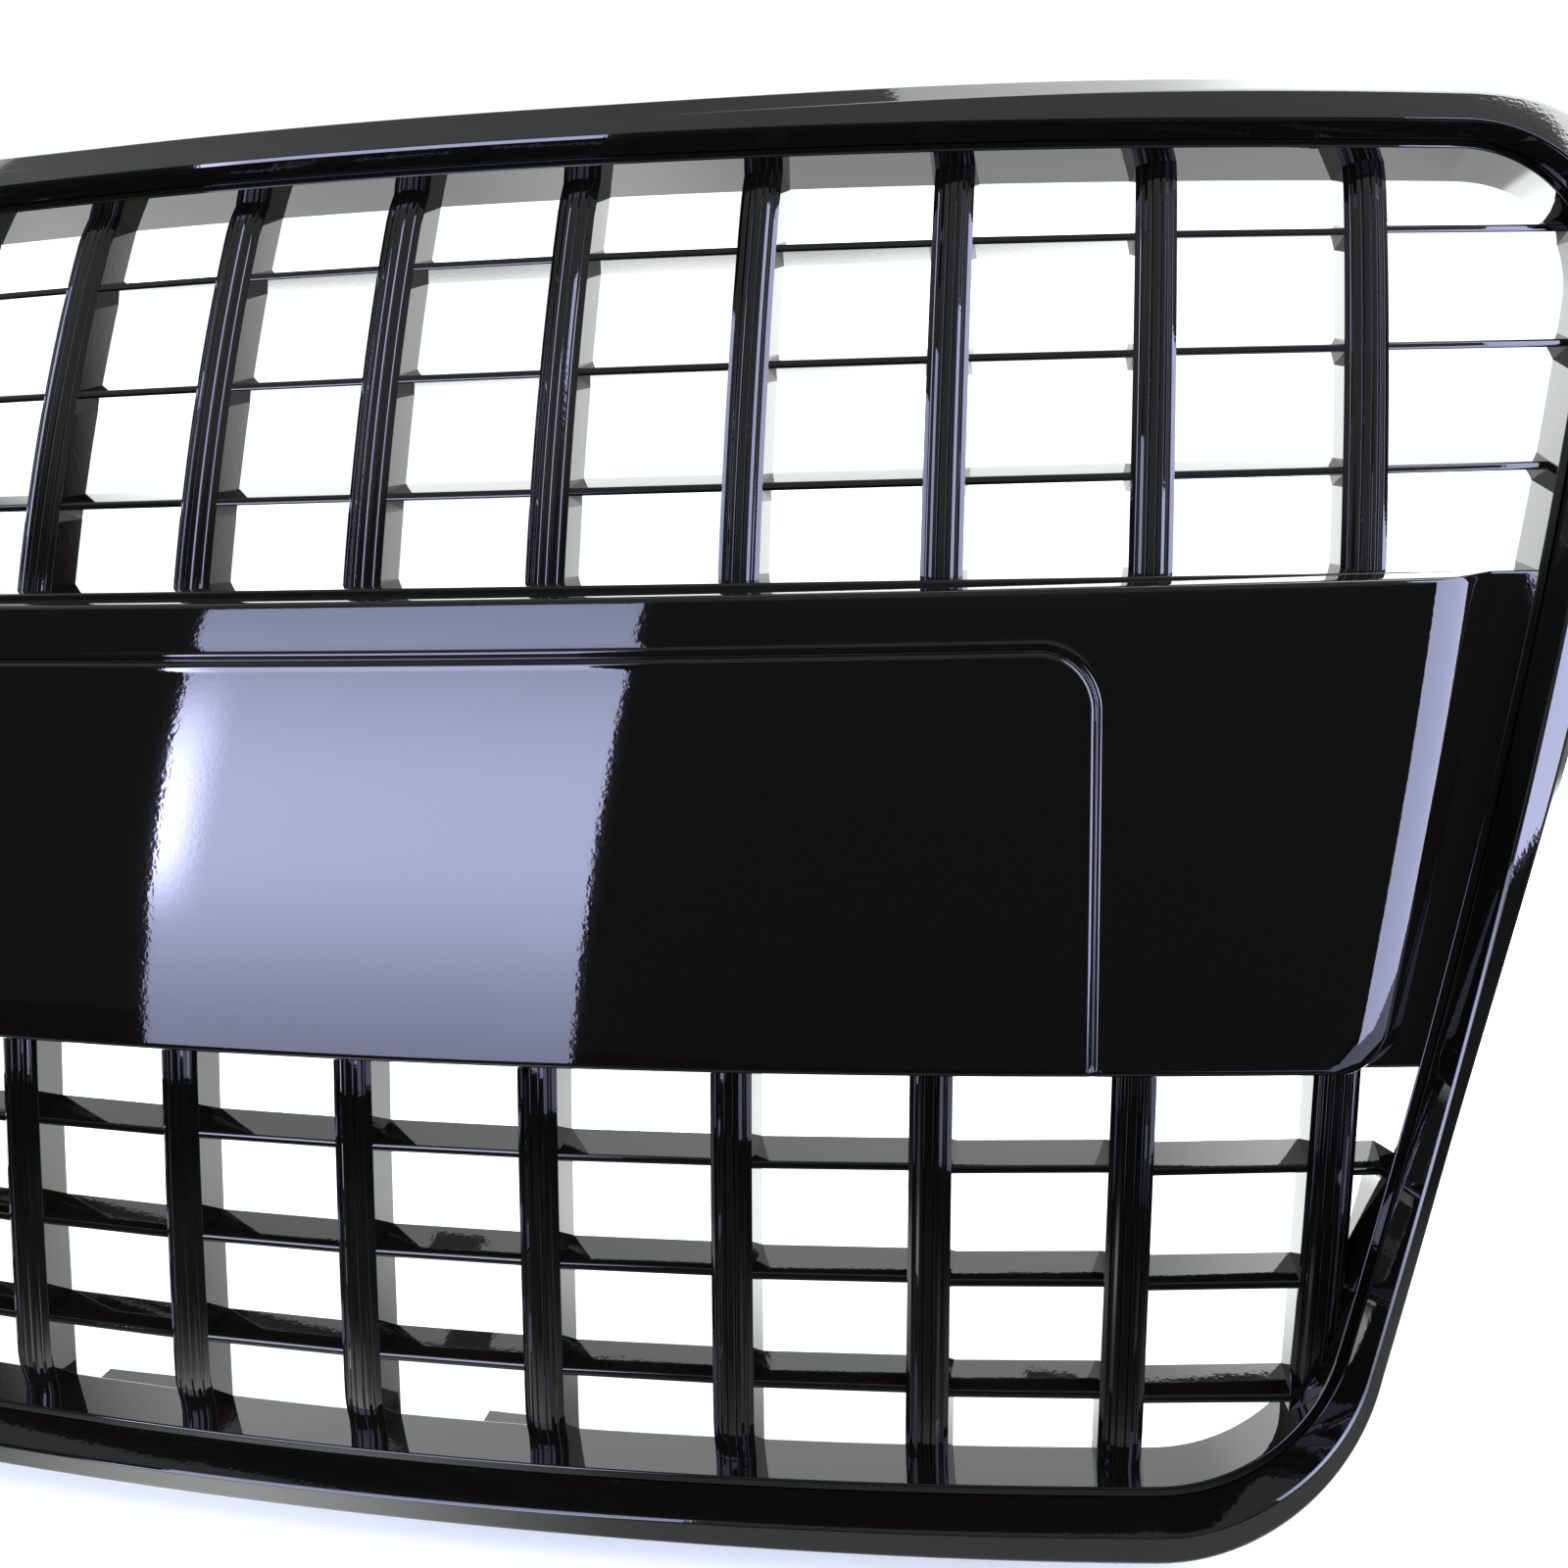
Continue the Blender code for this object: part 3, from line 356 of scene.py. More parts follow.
def loft(name, rings, closed=False, sharp=SHARP):
    """Skin over rings of equal count; an open loft gets an end face on its first and last ring."""
    count = len(rings[0])
    verts = [point for ring in rings for point in ring]
    faces = []
    for r in range(len(rings) if closed else len(rings) - 1):
        here, there = r * count, (r + 1) % len(rings) * count
        for i in range(count):
            j = (i + 1) % count
            faces.append((here + i, here + j, there + j, there + i))
    if not closed:
        faces.append(tuple(range(count)))
        faces.append(tuple(range(len(verts) - count, len(verts))))
    return new_object(name, verts, faces, sharp)


def apply_modifiers(obj):
    """Bakes an object's modifiers into its mesh."""
    graph = bpy.context.evaluated_depsgraph_get()
    mesh = bpy.data.meshes.new_from_object(obj.evaluated_get(graph), depsgraph=graph)
    obj.modifiers.clear()
    old = obj.data
    obj.data = mesh
    bpy.data.meshes.remove(old)


def finish_piece(obj, material, slot, *nodes):
    """Gives a piece its finish and place; its flats keep their own normals beside small roundings."""
    normals = obj.modifiers.new("normals", "WEIGHTED_NORMAL")
    normals.weight = NORMAL_WEIGHT
    normals.keep_sharp = True
    apply_modifiers(obj)
    obj.data.materials.clear()
    obj.data.materials.append(material)
    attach(obj, "root")
    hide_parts(*nodes)


# ---------------------------------------------------------------- node helpers

def new_node(tree, kind, **settings):
    """Adds a shader node and sets its properties."""
    node = tree.nodes.new("ShaderNode" + kind)
    for name, value in settings.items():
        setattr(node, name, value)
    return node


def ramp_between(tree, source, low, high, at_low, at_high):
    """Smooth change of a value from at_low to at_high as the source goes from low to high."""
    ramp = new_node(tree, "MapRange", interpolation_type="SMOOTHSTEP")
    for name, value in zip(("From Min", "From Max", "To Min", "To Max"), (low, high, at_low, at_high)):
        ramp.inputs[name].default_value = value
    tree.links.new(source, ramp.inputs["Value"])
    return ramp.outputs["Result"]


def combine(tree, operation, first, second=0.0):
    """Math node on one or two values, each a number or a socket."""
    node = new_node(tree, "Math", operation=operation)
    for socket, value in zip(node.inputs, (first, second)):
        if isinstance(value, (int, float)):
            socket.default_value = value
        else:
            tree.links.new(value, socket)
    return node.outputs["Value"]


def noise_over(tree, place, scale, detail):
    """Noise over the piece's own coordinates."""
    noise = new_node(tree, "TexNoise")
    noise.inputs["Scale"].default_value = scale
    noise.inputs["Detail"].default_value = detail
    tree.links.new(place, noise.inputs["Vector"])
    return noise.outputs["Fac"]


def bump_from(tree, height, strength, depth):
    """Bump node driven by a height."""
    bump = new_node(tree, "Bump")
    bump.inputs["Strength"].default_value = strength
    bump.inputs["Distance"].default_value = depth
    tree.links.new(height, bump.inputs["Height"])
    return bump


def set_polish(tree, shader, source, roughness, share):
    """Lets the roughness wander between two shares of its value."""
    polish = new_node(tree, "MapRange")
    polish.inputs["To Min"].default_value = roughness * share[0]
    polish.inputs["To Max"].default_value = roughness * share[1]
    tree.links.new(source, polish.inputs["Value"])
    tree.links.new(polish.outputs["Result"], shader.inputs["Roughness"])


def mix_colors(tree, shader, factor, first, second):
    """Gives the shader a base colour between two colours."""
    tint = new_node(tree, "Mix", data_type="RGBA")
    tint.inputs["A"].default_value = (*first, 1)
    tint.inputs["B"].default_value = (*second, 1)
    tree.links.new(factor, tint.inputs["Factor"])
    tree.links.new(tint.outputs["Result"], shader.inputs["Base Color"])


def surface_material(name):
    """New material with its node tree, its shader and the piece's own coordinates."""
    material = bpy.data.materials.new(name)
    material.use_nodes = True
    tree = material.node_tree
    return material, tree, tree.nodes["Principled BSDF"], new_node(tree, "TexCoord").outputs["Object"]


# ---------------------------------------------------------------- materials

def dust_specks(tree, place):
    """1 on a few small dots, 0 elsewhere."""
    cells = new_node(tree, "TexVoronoi")
    cells.inputs["Scale"].default_value = SPECK_SCALE
    tree.links.new(place, cells.inputs["Vector"])
    chance = new_node(tree, "SeparateColor")
    tree.links.new(cells.outputs["Color"], chance.inputs["Color"])
    dot = combine(tree, "LESS_THAN", cells.outputs["Distance"], SPECK_SIZE)
    rare = combine(tree, "GREATER_THAN", chance.outputs["Red"], SPECK_RARITY)
    return combine(tree, "MULTIPLY", dot, rare)


def gloss_plastic(name, base, specks):
    """Moulded gloss plastic: faint orange peel, a slightly uneven polish and, if asked, dust specks."""
    material, tree, shader, place = surface_material(name)
    shader.inputs["IOR"].default_value = GLOSS_IOR
    wave = noise_over(tree, place, WAVE_SCALE, WAVE_DETAIL)
    peel_bump = bump_from(tree, noise_over(tree, place, PEEL_SCALE, PEEL_DETAIL), PEEL_STRENGTH, PEEL_DEPTH)
    wave_bump = bump_from(tree, wave, WAVE_STRENGTH, WAVE_DEPTH)
    tree.links.new(peel_bump.outputs["Normal"], wave_bump.inputs["Normal"])
    tree.links.new(wave_bump.outputs["Normal"], shader.inputs["Normal"])
    set_polish(tree, shader, wave, GLOSS_ROUGHNESS, GLOSS_POLISH)
    if specks:
        mix_colors(tree, shader, dust_specks(tree, place), base, SPECK_COLOR)
    else:
        shader.inputs["Base Color"].default_value = (*base, 1)
    return material


def grained_material(name, base, roughness, metallic, scale, relief):
    """Grained finish whose tone and polish follow its grain."""
    material, tree, shader, place = surface_material(name)
    shader.inputs["Metallic"].default_value = metallic
    grain = noise_over(tree, place, scale, GRAIN_DETAIL)
    tree.links.new(bump_from(tree, grain, relief, GRAIN_DEPTH).outputs["Normal"], shader.inputs["Normal"])
    mix_colors(tree, shader, grain, *([c * tone for c in base] for tone in GRAIN_TONES))
    set_polish(tree, shader, grain, roughness, GRAIN_POLISH)
    return material


def dress_hardware():
    """Gives the frame's own tabs, screws and pad their finishes."""
    for start, look in HARDWARE.items():
        finish = grained_material(*look)
        for name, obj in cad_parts.items():
            if name.startswith(start):
                for slot in obj.material_slots:
                    slot.material = finish


# ---------------------------------------------------------------- surround and rim

def slope_slide(z, nx, nz):
    """How far the surround's inner slope is turned: all along the top, half way low on the sides."""
    low_side = LOW_SIDE_SLIDE * smooth_step(*LOW_SIDE_LEVELS, -z) * smooth_step(*LOW_SIDE_NORMALS, abs(nx))
    return max(nz, 0) ** 2 + low_side


def make_surround(material):
    """Trim round the opening: a steep inner slope, a ridge, an outer face and a skirt."""
    sections = [rounded(section, steps=SECTION_ARC_STEPS) for section in (SIDE_SECTION, CREST_SECTION)]
    rings = []
    for x, z, nx, nz in OUTLINE:
        share = outer_share(x, nx, nz, z)
        turned = slope_slide(z, nx, nz)
        flat_crest = max(nz, 0) ** 2 * smooth_step(*CREST_SPAN, -abs(x))
        ring = []
        for side_point, crest_point in zip(*sections):
            out, height = Vector(side_point).lerp(Vector(crest_point), flat_crest)
            if out > RIDGE:
                out = RIDGE + (out - RIDGE) * share
            slide = turned * min(1.0, max(0.0, (height - SLIDE_FOOT) / SLIDE_RUN))
            out += SLIDE_OUT * slide
            ring.append(on_face(x + nx * out * MM, z + nz * out * MM, (height - SLIDE_BACK * slide) * MM))
        rings.append(ring)
    finish_piece(loft("surround", rings, closed=True), material, "gloss_black", "surround_frame")


def make_rim(material):
    """Wall that lines the opening, with a narrow lip and the rail behind the surround."""
    rings = []
    for x, z, nx, nz in OUTLINE:
        inset = wall_inset(nz)
        rail_out = RAIL_IN + RAIL_WIDTH * outer_share(x, nx, nz, z)
        section = [(0, LIP_HEIGHT + LIP_RISE_IN, RIM_EDGE),
                   (RAIL_IN, LIP_HEIGHT + LIP_RISE_OUT, LIP_OUTER_EDGE),
                   (RAIL_IN, RAIL_FRONT, 0), (rail_out, RAIL_FRONT, RAIL_EDGE),
                   (rail_out, RAIL_BACK, RAIL_EDGE),
                   (RAIL_IN - inset * RAIL_LEAN, RAIL_BACK, RAIL_INNER_EDGE),
                   (RIM_WALL - inset, -MESH_BACK, RIM_EDGE), (-inset, -MESH_BACK, RIM_EDGE)]
        points = rounded(section, steps=RIM_ARC_STEPS)
        rings.append([on_face(x + nx * out, z + nz * out, height) for out, height in points])
    finish_piece(loft("rim", rings, closed=True), material, "gloss_black", "insert_rim")


# ---------------------------------------------------------------- meshes and strips

def opening_cutter():
    """Solid inside the opening, grown a little into the rim's wall so that what it trims meets the wall."""
    rings = [[], [], [], []]
    for x, z, nx, nz in OUTLINE:
        slope = wall_inset(nz) / (LIP_HEIGHT + MESH_BACK)
        for ring, height in ((1, CUTTER_FRONT), (2, CUTTER_BACK)):
            offset = slope * (height - LIP_HEIGHT) + CUTTER_GROW
            rings[ring].append(on_face(x + nx * offset, z + nz * offset, height))
        rings[0].append(Vector((rings[1][-1].x, -CUTTER_REACH, rings[1][-1].z)))
        rings[3].append(Vector((rings[2][-1].x, CUTTER_REACH, rings[2][-1].z)))
    cutter = loft("opening_cutter", rings)
    cutter.hide_render = True
    return cutter


def end_bend(x, z):
    """How far a bar's front turns back as it nears the rim's wall."""
    gap = float(np.min(np.hypot(LIP_POINTS[:, 0] - x, LIP_POINTS[:, 1] - z)))
    near = max(0.0, 1 - gap / END_BEND_LENGTH)
    return END_BEND * near * near


def trim(obj, cutter):
    """Keeps the part of an object that is inside the opening."""
    step = obj.modifiers.new("trim", "BOOLEAN")
    step.operation = "INTERSECT"
    step.solver = "EXACT"
    step.object = cutter
    apply_modifiers(obj)
    obj.data.set_sharp_from_angle(angle=math.radians(SHARP_TRIMMED))


def weigh_convex_edges(obj):
    """Marks outward corners for the bevel, so that inner corners stay sharp."""
    body = bmesh.new()
    body.from_mesh(obj.data)
    weight = body.edges.layers.float.new("bevel_weight_edge")
    for edge in body.edges:
        if len(edge.link_faces) == 2 and edge.calc_face_angle_signed() > math.radians(BEVEL_ANGLE):
            along = (edge.verts[1].co - edge.verts[0].co).normalized()
            edge[weight] = SLAT_BEVEL if abs(along.x) > ALONG_SLAT else WEB_BEVEL
    body.to_mesh(obj.data)
    body.free()


def mesh_levels(slats, ends):
    """Levels (z, side) of the grid: a slat's two sides (1 and -1), and plain levels (0) between slats."""
    levels = []
    marks = [ends[0], *slats, ends[1]]
    for i, z in enumerate(marks):
        levels += [(z, 1), (z, -1)] if 0 < i < len(marks) - 1 else [(z, 0)]
        if i < len(marks) - 1:
            levels += [(z + (marks[i + 1] - z) * k / LEVELS_BETWEEN, 0) for k in range(1, LEVELS_BETWEEN)]
    return levels


def mesh_grid(levels, columns):
    """Vertices of the grid's front and back layers, and their index by (layer, row, column)."""
    depth = MESH_BACK - MESH_FRONT
    layers = ((MESH_FRONT, WEB_HALF, SLAT_HALF),
              (MESH_BACK, WEB_HALF + BAR_DRAFT * depth, SLAT_HALF + SLAT_DRAFT * depth))
    verts, index = [], {}
    for layer, (back, web, slat) in enumerate(layers):
        for r, (row_z, row_side) in enumerate(levels):
            z = row_z + row_side * slat
            for c, (bar, side) in enumerate(columns):
                base = side * MESH_REACH if bar is None else bar_x(bar, z)
                x = base if bar is None else base + side * web
                front = end_bend(base, z) if layer == 0 and row_side == 0 else 0.0
                index[layer, r, c] = len(verts)
                verts.append(Vector((x, face(base, z) + back + front, z)))
    return verts, index


def cell_is_solid(levels, wide, r, c):
    """Slats fill the cells between their two levels, and bars fill every second column."""
    inside = 0 <= r < len(levels) - 1 and 0 <= c < wide - 1
    on_slat = inside and levels[r][1] == 1 and levels[r + 1][1] == -1
    return inside and (on_slat or c % 2 == 1)


def mesh_faces(levels, wide, index):
    """Front and back faces of the solid cells, and walls where the next cell is open."""
    faces = []
    for r in range(len(levels) - 1):
        for c in range(wide - 1):
            if not cell_is_solid(levels, wide, r, c):
                continue
            for layer in (0, 1):
                faces.append((index[layer, r, c], index[layer, r, c + 1],
                              index[layer, r + 1, c + 1], index[layer, r + 1, c]))
            edges = (((r, c), (r, c + 1), (r - 1, c)), ((r + 1, c), (r + 1, c + 1), (r + 1, c)),
                     ((r, c), (r + 1, c), (r, c - 1)), ((r, c + 1), (r + 1, c + 1), (r, c + 1)))
            for first, second, beyond in edges:
                if not cell_is_solid(levels, wide, *beyond):
                    faces.append((index[0, *first], index[0, *second], index[1, *second], index[1, *first]))
    return faces


def make_mesh(name, node, slats, ends, cutter, material):
    """One half of the insert: drafted webs crossed by wedge slats, edges softly rounded."""
    bars = [i + 0.5 for i in range(-BARS_PER_SIDE, BARS_PER_SIDE)]
    columns = [(None, -1)] + [(bar, side) for bar in bars for side in (-1, 1)] + [(None, 1)]
    levels = mesh_levels(slats, ends)
    verts, index = mesh_grid(levels, columns)
    faces = mesh_faces(levels, len(columns), index)
    used = sorted({i for corners in faces for i in corners})
    place = {old: new for new, old in enumerate(used)}
    obj = new_object(name, [verts[i] for i in used], [[place[i] for i in f] for f in faces], SHARP_MESH)
    weigh_convex_edges(obj)
    bevel = obj.modifiers.new("edges", "BEVEL")
    bevel.width = BEVEL_WIDTH
    bevel.segments = BEVEL_SEGMENTS
    bevel.limit_method = "WEIGHT"
    trim(obj, cutter)
    finish_piece(obj, material, "gloss_black", node)


def strip_section():
    """Stepped front of a bar from left to right, as (offset, depth)."""
    right = rounded(STRIP_HALF, closed=False, steps=STRIP_ARC_STEPS)
    left = [(-u, d) for u, d in reversed(right[1:])]
    return left + right


def make_strips(row, low, high, cutter, material):
    """Strips on the fronts of one row of bars, between two levels."""
    section = strip_section() + [(STRIP_BACK_HALF, STRIP_BACK), (-STRIP_BACK_HALF, STRIP_BACK)]
    for number in range(2 * BARS_PER_SIDE):
        bar = number - BARS_PER_SIDE + 0.5
        rings = []
        for i in range(STRIP_STEPS + 1):
            z = low + (high - low) * i / STRIP_STEPS
            centre = bar_x(bar, z)
            bend = end_bend(centre, z)
            rings.append([Vector((centre + u * MM, face(centre, z) + d * MM + bend, z)) for u, d in section])
        label = f"{row}_strip_{number + 1:02d}"
        obj = loft("bar_" + label, rings, sharp=SHARP_FINE)
        trim(obj, cutter)
        finish_piece(obj, material, "gloss_black_strip", label)


# ---------------------------------------------------------------- carrier and plate panel

def make_carrier(cutter, material):
    """Box that carries the panel: a front wall with a narrow lip above the panel, and two side walls."""
    rise = CARRIER_DRAFT * (LIP_HEIGHT + MESH_BACK)
    wall, low, edge = CARRIER_WALL, CARRIER_BOTTOM, CARRIER_BACK_EDGE
    rings = []
    for i in range(CARRIER_COLUMNS + 1):
        x = CARRIER_REACH * (2 * i / CARRIER_COLUMNS - 1)
        top = CARRIER_TOP - CARRIER_TOP_CURVE * x * x
        radii = [CARRIER_FRONT_EDGE] + [0] * (CARRIER_LEVELS - 1) + [CARRIER_FRONT_EDGE]
        inner_levels = np.linspace(top - wall, low + wall, CARRIER_INNER_LEVELS)
        section = [(low + (top - low) * k / CARRIER_LEVELS, LIP_HEIGHT, radius)
                   for k, radius in enumerate(radii)]
        section += [(top + rise, -MESH_BACK, edge), (top + rise - wall, -MESH_BACK, edge)]
        section += [(z, LIP_HEIGHT - wall, 0) for z in inner_levels]
        section += [(low - rise + wall, -MESH_BACK, edge), (low - rise, -MESH_BACK, edge)]
        points = rounded(section, steps=CARRIER_ARC_STEPS)
        rings.append([on_face(x, z, height) for z, height in points])
    obj = loft("carrier", rings)
    trim(obj, cutter)
    finish_piece(obj, material, "gloss_black", "panel_carrier")


def spread(marks):
    """Grid lines through marks of (position, spacing up to the next mark)."""
    lines = []
    for (start, gap), (end, _) in zip(marks, marks[1:]):
        count = max(1, round((end - start) / gap))
        lines += [start + (end - start) * i / count for i in range(count)]
    lines.append(marks[-1][0])
    return np.array(lines)


def groove_distance(x, z):
    """Distance from the line round the number plate: up one side, across the top and down the other."""
    x = np.abs(x)
    across = x - (GROOVE_SIDE - GROOVE_CORNER)
    up = z - (GROOVE_TOP - GROOVE_CORNER)
    corner = np.hypot(np.maximum(across, 0), np.maximum(up, 0)) - GROOVE_CORNER
    return np.where((across > 0) & (up > 0), corner, np.maximum(across, up) - GROOVE_CORNER)


def edge_rise(distance, draft, wall, fillet, rise):
    """Height over the foot at a distance from an edge: a drafted wall, then a fillet up to the face."""
    turn = np.clip((distance - draft) / fillet, 0, 1)
    on_fillet = wall + (rise - wall) * np.sqrt(1 - (1 - turn) ** 2)
    return np.where(distance < draft, distance * wall / draft, on_fillet)


def end_rise(from_end, z, rise):
    """Height over the foot at a distance from a side end: a chamfer, then a soft shoulder."""
    taper = np.clip((z - PANEL_LOW) / (PANEL_TOP - PANEL_LOW), 0, 1)
    chamfer = END_CHAMFER + END_CHAMFER_GAIN * taper
    knee = rise * END_KNEE
    slope = knee / chamfer
    run = np.clip(from_end, 0, None)
    t = np.clip((run - chamfer) / END_SHOULDER, 0, 1)
    over = (rise - knee) * (1 - (1 - t) ** END_ROUNDNESS)
    return np.where(run < chamfer, slope * run, knee + over)


def panel_height(x, z, half):
    """Height of the panel's front over the sheet; half is its foot's half width at that level."""
    from_low = z - PANEL_LOW
    rise = PANEL_FACE - PANEL_FOOT
    end = end_rise(half - np.abs(x), z, rise)
    top = edge_rise(PANEL_TOP - z, *TOP_EDGE, rise)
    low = edge_rise(from_low, *LOW_EDGE, rise)
    height = np.minimum(np.minimum(end, top), low)
    away = groove_distance(x, z)
    groove = GROOVE_DEPTH * np.exp(-(away / GROOVE_WIDTH) ** 2)
    lips = GROOVE_LIP * np.exp(-((np.abs(away) - GROOVE_LIP_AT) / GROOVE_LIP_WIDTH) ** 2)
    fade = np.clip(from_low / GROOVE_FADE, 0, 1)
    return PANEL_FOOT + np.clip(height, 0, rise) - groove * fade + lips * fade


def corner_cut(distance, radius):
    """How far a rounded corner pulls in an outline at a distance from its end."""
    if distance >= radius:
        return 0.0
    return radius - math.sqrt(max(0.0, radius**2 - (radius - distance) ** 2))


def panel_half_width(z):
    """Half width of the panel's foot at a level, with its corners rounded."""
    half = PANEL_SIDE + PANEL_SIDE_SLOPE * z
    return half - corner_cut(z - PANEL_LOW, PANEL_CORNER) - corner_cut(PANEL_TOP - z, PANEL_TOP_CORNER)


def panel_row(z, inner_lines):
    """One row of the panel's front and of its back."""
    half = panel_half_width(z)
    tail = inner_lines[-1] + (half - inner_lines[-1]) * np.linspace(0, 1, GRID_END_COLUMNS + 1)[1:]
    right = np.concatenate([inner_lines, tail])
    xs = np.concatenate([-right[:0:-1], right])
    levels = np.full_like(xs, z)
    heights = panel_height(xs, z, half)
    shell = np.clip(heights - PANEL_WALL, PANEL_FOOT, None)
    front = np.stack([xs, face(xs, z) - heights, levels], 1)
    back = np.stack([xs * (1 - BACK_NARROWING), face(xs, z) - shell + BACK_GAP, levels], 1)
    return front, back


def panel_faces(rows, wide):
    """Faces of the front and back grids, and the rim of faces between them."""
    shift = rows * wide
    faces = []
    for r in range(rows - 1):
        for c in range(wide - 1):
            a = r * wide + c
            faces.append((a, a + 1, a + 1 + wide, a + wide))
            faces.append((shift + a, shift + a + wide, shift + a + 1 + wide, shift + a + 1))
    for c in range(wide - 1):
        for row in (0, rows - 1):
            a = row * wide + c
            faces.append((a, a + 1, shift + a + 1, shift + a))
    for r in range(rows - 1):
        for column in (0, wide - 1):
            a = r * wide + column
            faces.append((a, a + wide, shift + a + wide, shift + a))
    return faces


def make_panel(material):
    """Plate panel: a fine grid whose lines crowd at the groove and at the rounded edges."""
    inner_lines = spread(GRID_ACROSS)
    front, back = zip(*[panel_row(z, inner_lines) for z in spread(GRID_UP)])
    verts = np.concatenate(front + back)
    obj = new_object("panel", verts, panel_faces(len(front), len(front[0])), SHARP_FINE)
    finish_piece(obj, material, "gloss_black", "plate_panel")


# ---------------------------------------------------------------- studio

def bare_material(name):
    """New material with an empty node tree."""
    material = bpy.data.materials.new(name)
    material.use_nodes = True
    material.node_tree.nodes.clear()
    return material, material.node_tree


def glow_node(tree, color, strength):
    """Emission of a colour; its strength is a number or a socket."""
    glow = new_node(tree, "Emission")
    glow.inputs["Color"].default_value = (*color, 1)
    if isinstance(strength, (int, float)):
        glow.inputs["Strength"].default_value = strength
    else:
        tree.links.new(strength, glow.inputs["Strength"])
    return glow.outputs["Emission"]


def close_material(tree, seen, lit=None):
    """Ends a stage material; a second shader stands for what the object itself is lit by and mirrors."""
    out = new_node(tree, "OutputMaterial")
    if lit is not None:
        path = new_node(tree, "LightPath")
        mix = new_node(tree, "MixShader")
        tree.links.new(path.outputs["Is Camera Ray"], mix.inputs["Fac"])
        tree.links.new(lit, mix.inputs[1])
        tree.links.new(seen, mix.inputs[2])
        seen = mix.outputs["Shader"]
    tree.links.new(seen, out.inputs["Surface"])


def place_of(tree):
    """Sockets of the lit point's X, Y and Z."""
    place = new_node(tree, "NewGeometry")
    split = new_node(tree, "SeparateXYZ")
    tree.links.new(place.outputs["Position"], split.inputs["Vector"])
    return split.outputs


def stage_quad(name, corners, material, seen=False):
    """Four-cornered surface of the stage; lights aren't seen by the camera."""
    obj = new_object(name, [Vector(c) for c in corners], [(0, 1, 2, 3)])
    obj.data.materials.append(material)
    obj.visible_camera = seen


def plain_light(name, corners, strength):
    """Lilac light of one strength."""
    material, tree = bare_material(name)
    close_material(tree, glow_node(tree, LILAC, strength))
    stage_quad(name, corners, material)


def make_floor(level):
    """White paper: bright behind the grille, with a pool of light in front, dark towards the sides."""
    material, tree = bare_material("floor")
    place = place_of(tree)
    behind = combine(tree, "ADD", ramp_between(tree, place["Y"], *FLOOR_BEHIND),
                     ramp_between(tree, place["Y"], *FLOOR_FAR))
    off = combine(tree, "ABSOLUTE", combine(tree, "ADD", place["X"], FLOOR_POOL_SHIFT))
    front = combine(tree, "MULTIPLY", ramp_between(tree, place["Y"], *FLOOR_NEAR),
                    ramp_between(tree, off, *FLOOR_POOL))
    lateral = combine(tree, "ABSOLUTE", place["X"])
    side = combine(tree, "ADD", lateral, combine(tree, "MULTIPLY", place["Y"], FLOOR_FADE_SLANT))
    strength = combine(tree, "MULTIPLY", combine(tree, "ADD", behind, front),
                       ramp_between(tree, side, *FLOOR_FADE))
    paper = new_node(tree, "BsdfDiffuse")
    paper.inputs["Color"].default_value = (*PAPER_COLOR, 1)
    lift = new_node(tree, "AddShader")
    tree.links.new(paper.outputs["BSDF"], lift.inputs[0])
    tree.links.new(glow_node(tree, WHITE, PAPER_LIFT), lift.inputs[1])
    close_material(tree, lift.outputs["Shader"], glow_node(tree, WHITE, strength))
    corners = [(x, y, level) for x, y in ((-STAGE_HALF, FLOOR_FRONT), (STAGE_HALF, FLOOR_FRONT),
                                          (STAGE_HALF, BACKDROP_Y), (-STAGE_HALF, BACKDROP_Y))]
    stage_quad("floor", corners, material, True)


def make_backdrop(level):
    """White wall behind the grille, whose mirrored side fades towards its ends."""
    material, tree = bare_material("backdrop")
    place = place_of(tree)
    wide = combine(tree, "ABSOLUTE", place["X"])
    strength = combine(tree, "MULTIPLY", ramp_between(tree, wide, *BACKDROP_SIDES),
                       ramp_between(tree, place["Z"], *BACKDROP_RISE))
    close_material(tree, glow_node(tree, WHITE, BACKDROP_SEEN), glow_node(tree, WHITE, strength))
    corners = [(x, BACKDROP_Y, z) for x, z in ((-STAGE_HALF, level), (STAGE_HALF, level),
                                               (STAGE_HALF, BACKDROP_TOP), (-STAGE_HALF, BACKDROP_TOP))]
    stage_quad("backdrop", corners, material, True)


def make_ceiling_light():
    """White light above and behind, brighter towards the right."""
    material, tree = bare_material("ceiling_light")
    place = place_of(tree)
    strength = combine(tree, "ADD", ramp_between(tree, place["X"], *CEILING_ACROSS),
                       ramp_between(tree, place["X"], *CEILING_RIGHT))
    close_material(tree, glow_node(tree, WHITE, strength))
    stage_quad("ceiling_light", CEILING, material)


def make_left_softbox():
    """Large softbox in front at the left, brightest at mid height, with a flare down its outer edge."""
    material, tree = bare_material("softbox_left")
    place = place_of(tree)
    bell = combine(tree, "MULTIPLY", ramp_between(tree, place["Z"], *FLARE_RISE),
                   ramp_between(tree, place["Z"], *FLARE_FALL))
    edge = ramp_between(tree, place["X"], *FLARE_EDGE)
    flare = combine(tree, "MULTIPLY", combine(tree, "MULTIPLY", edge, bell), LEFT_FLARE)
    body = combine(tree, "MULTIPLY", ramp_between(tree, place["Z"], *LEFT_UPPER),
                   ramp_between(tree, place["Z"], *LEFT_LOWER))
    strength = combine(tree, "MULTIPLY", combine(tree, "ADD", body, flare), LEFT_STRENGTH)
    close_material(tree, glow_node(tree, LILAC, strength))
    stage_quad("softbox_left", LEFT_BOX, material)


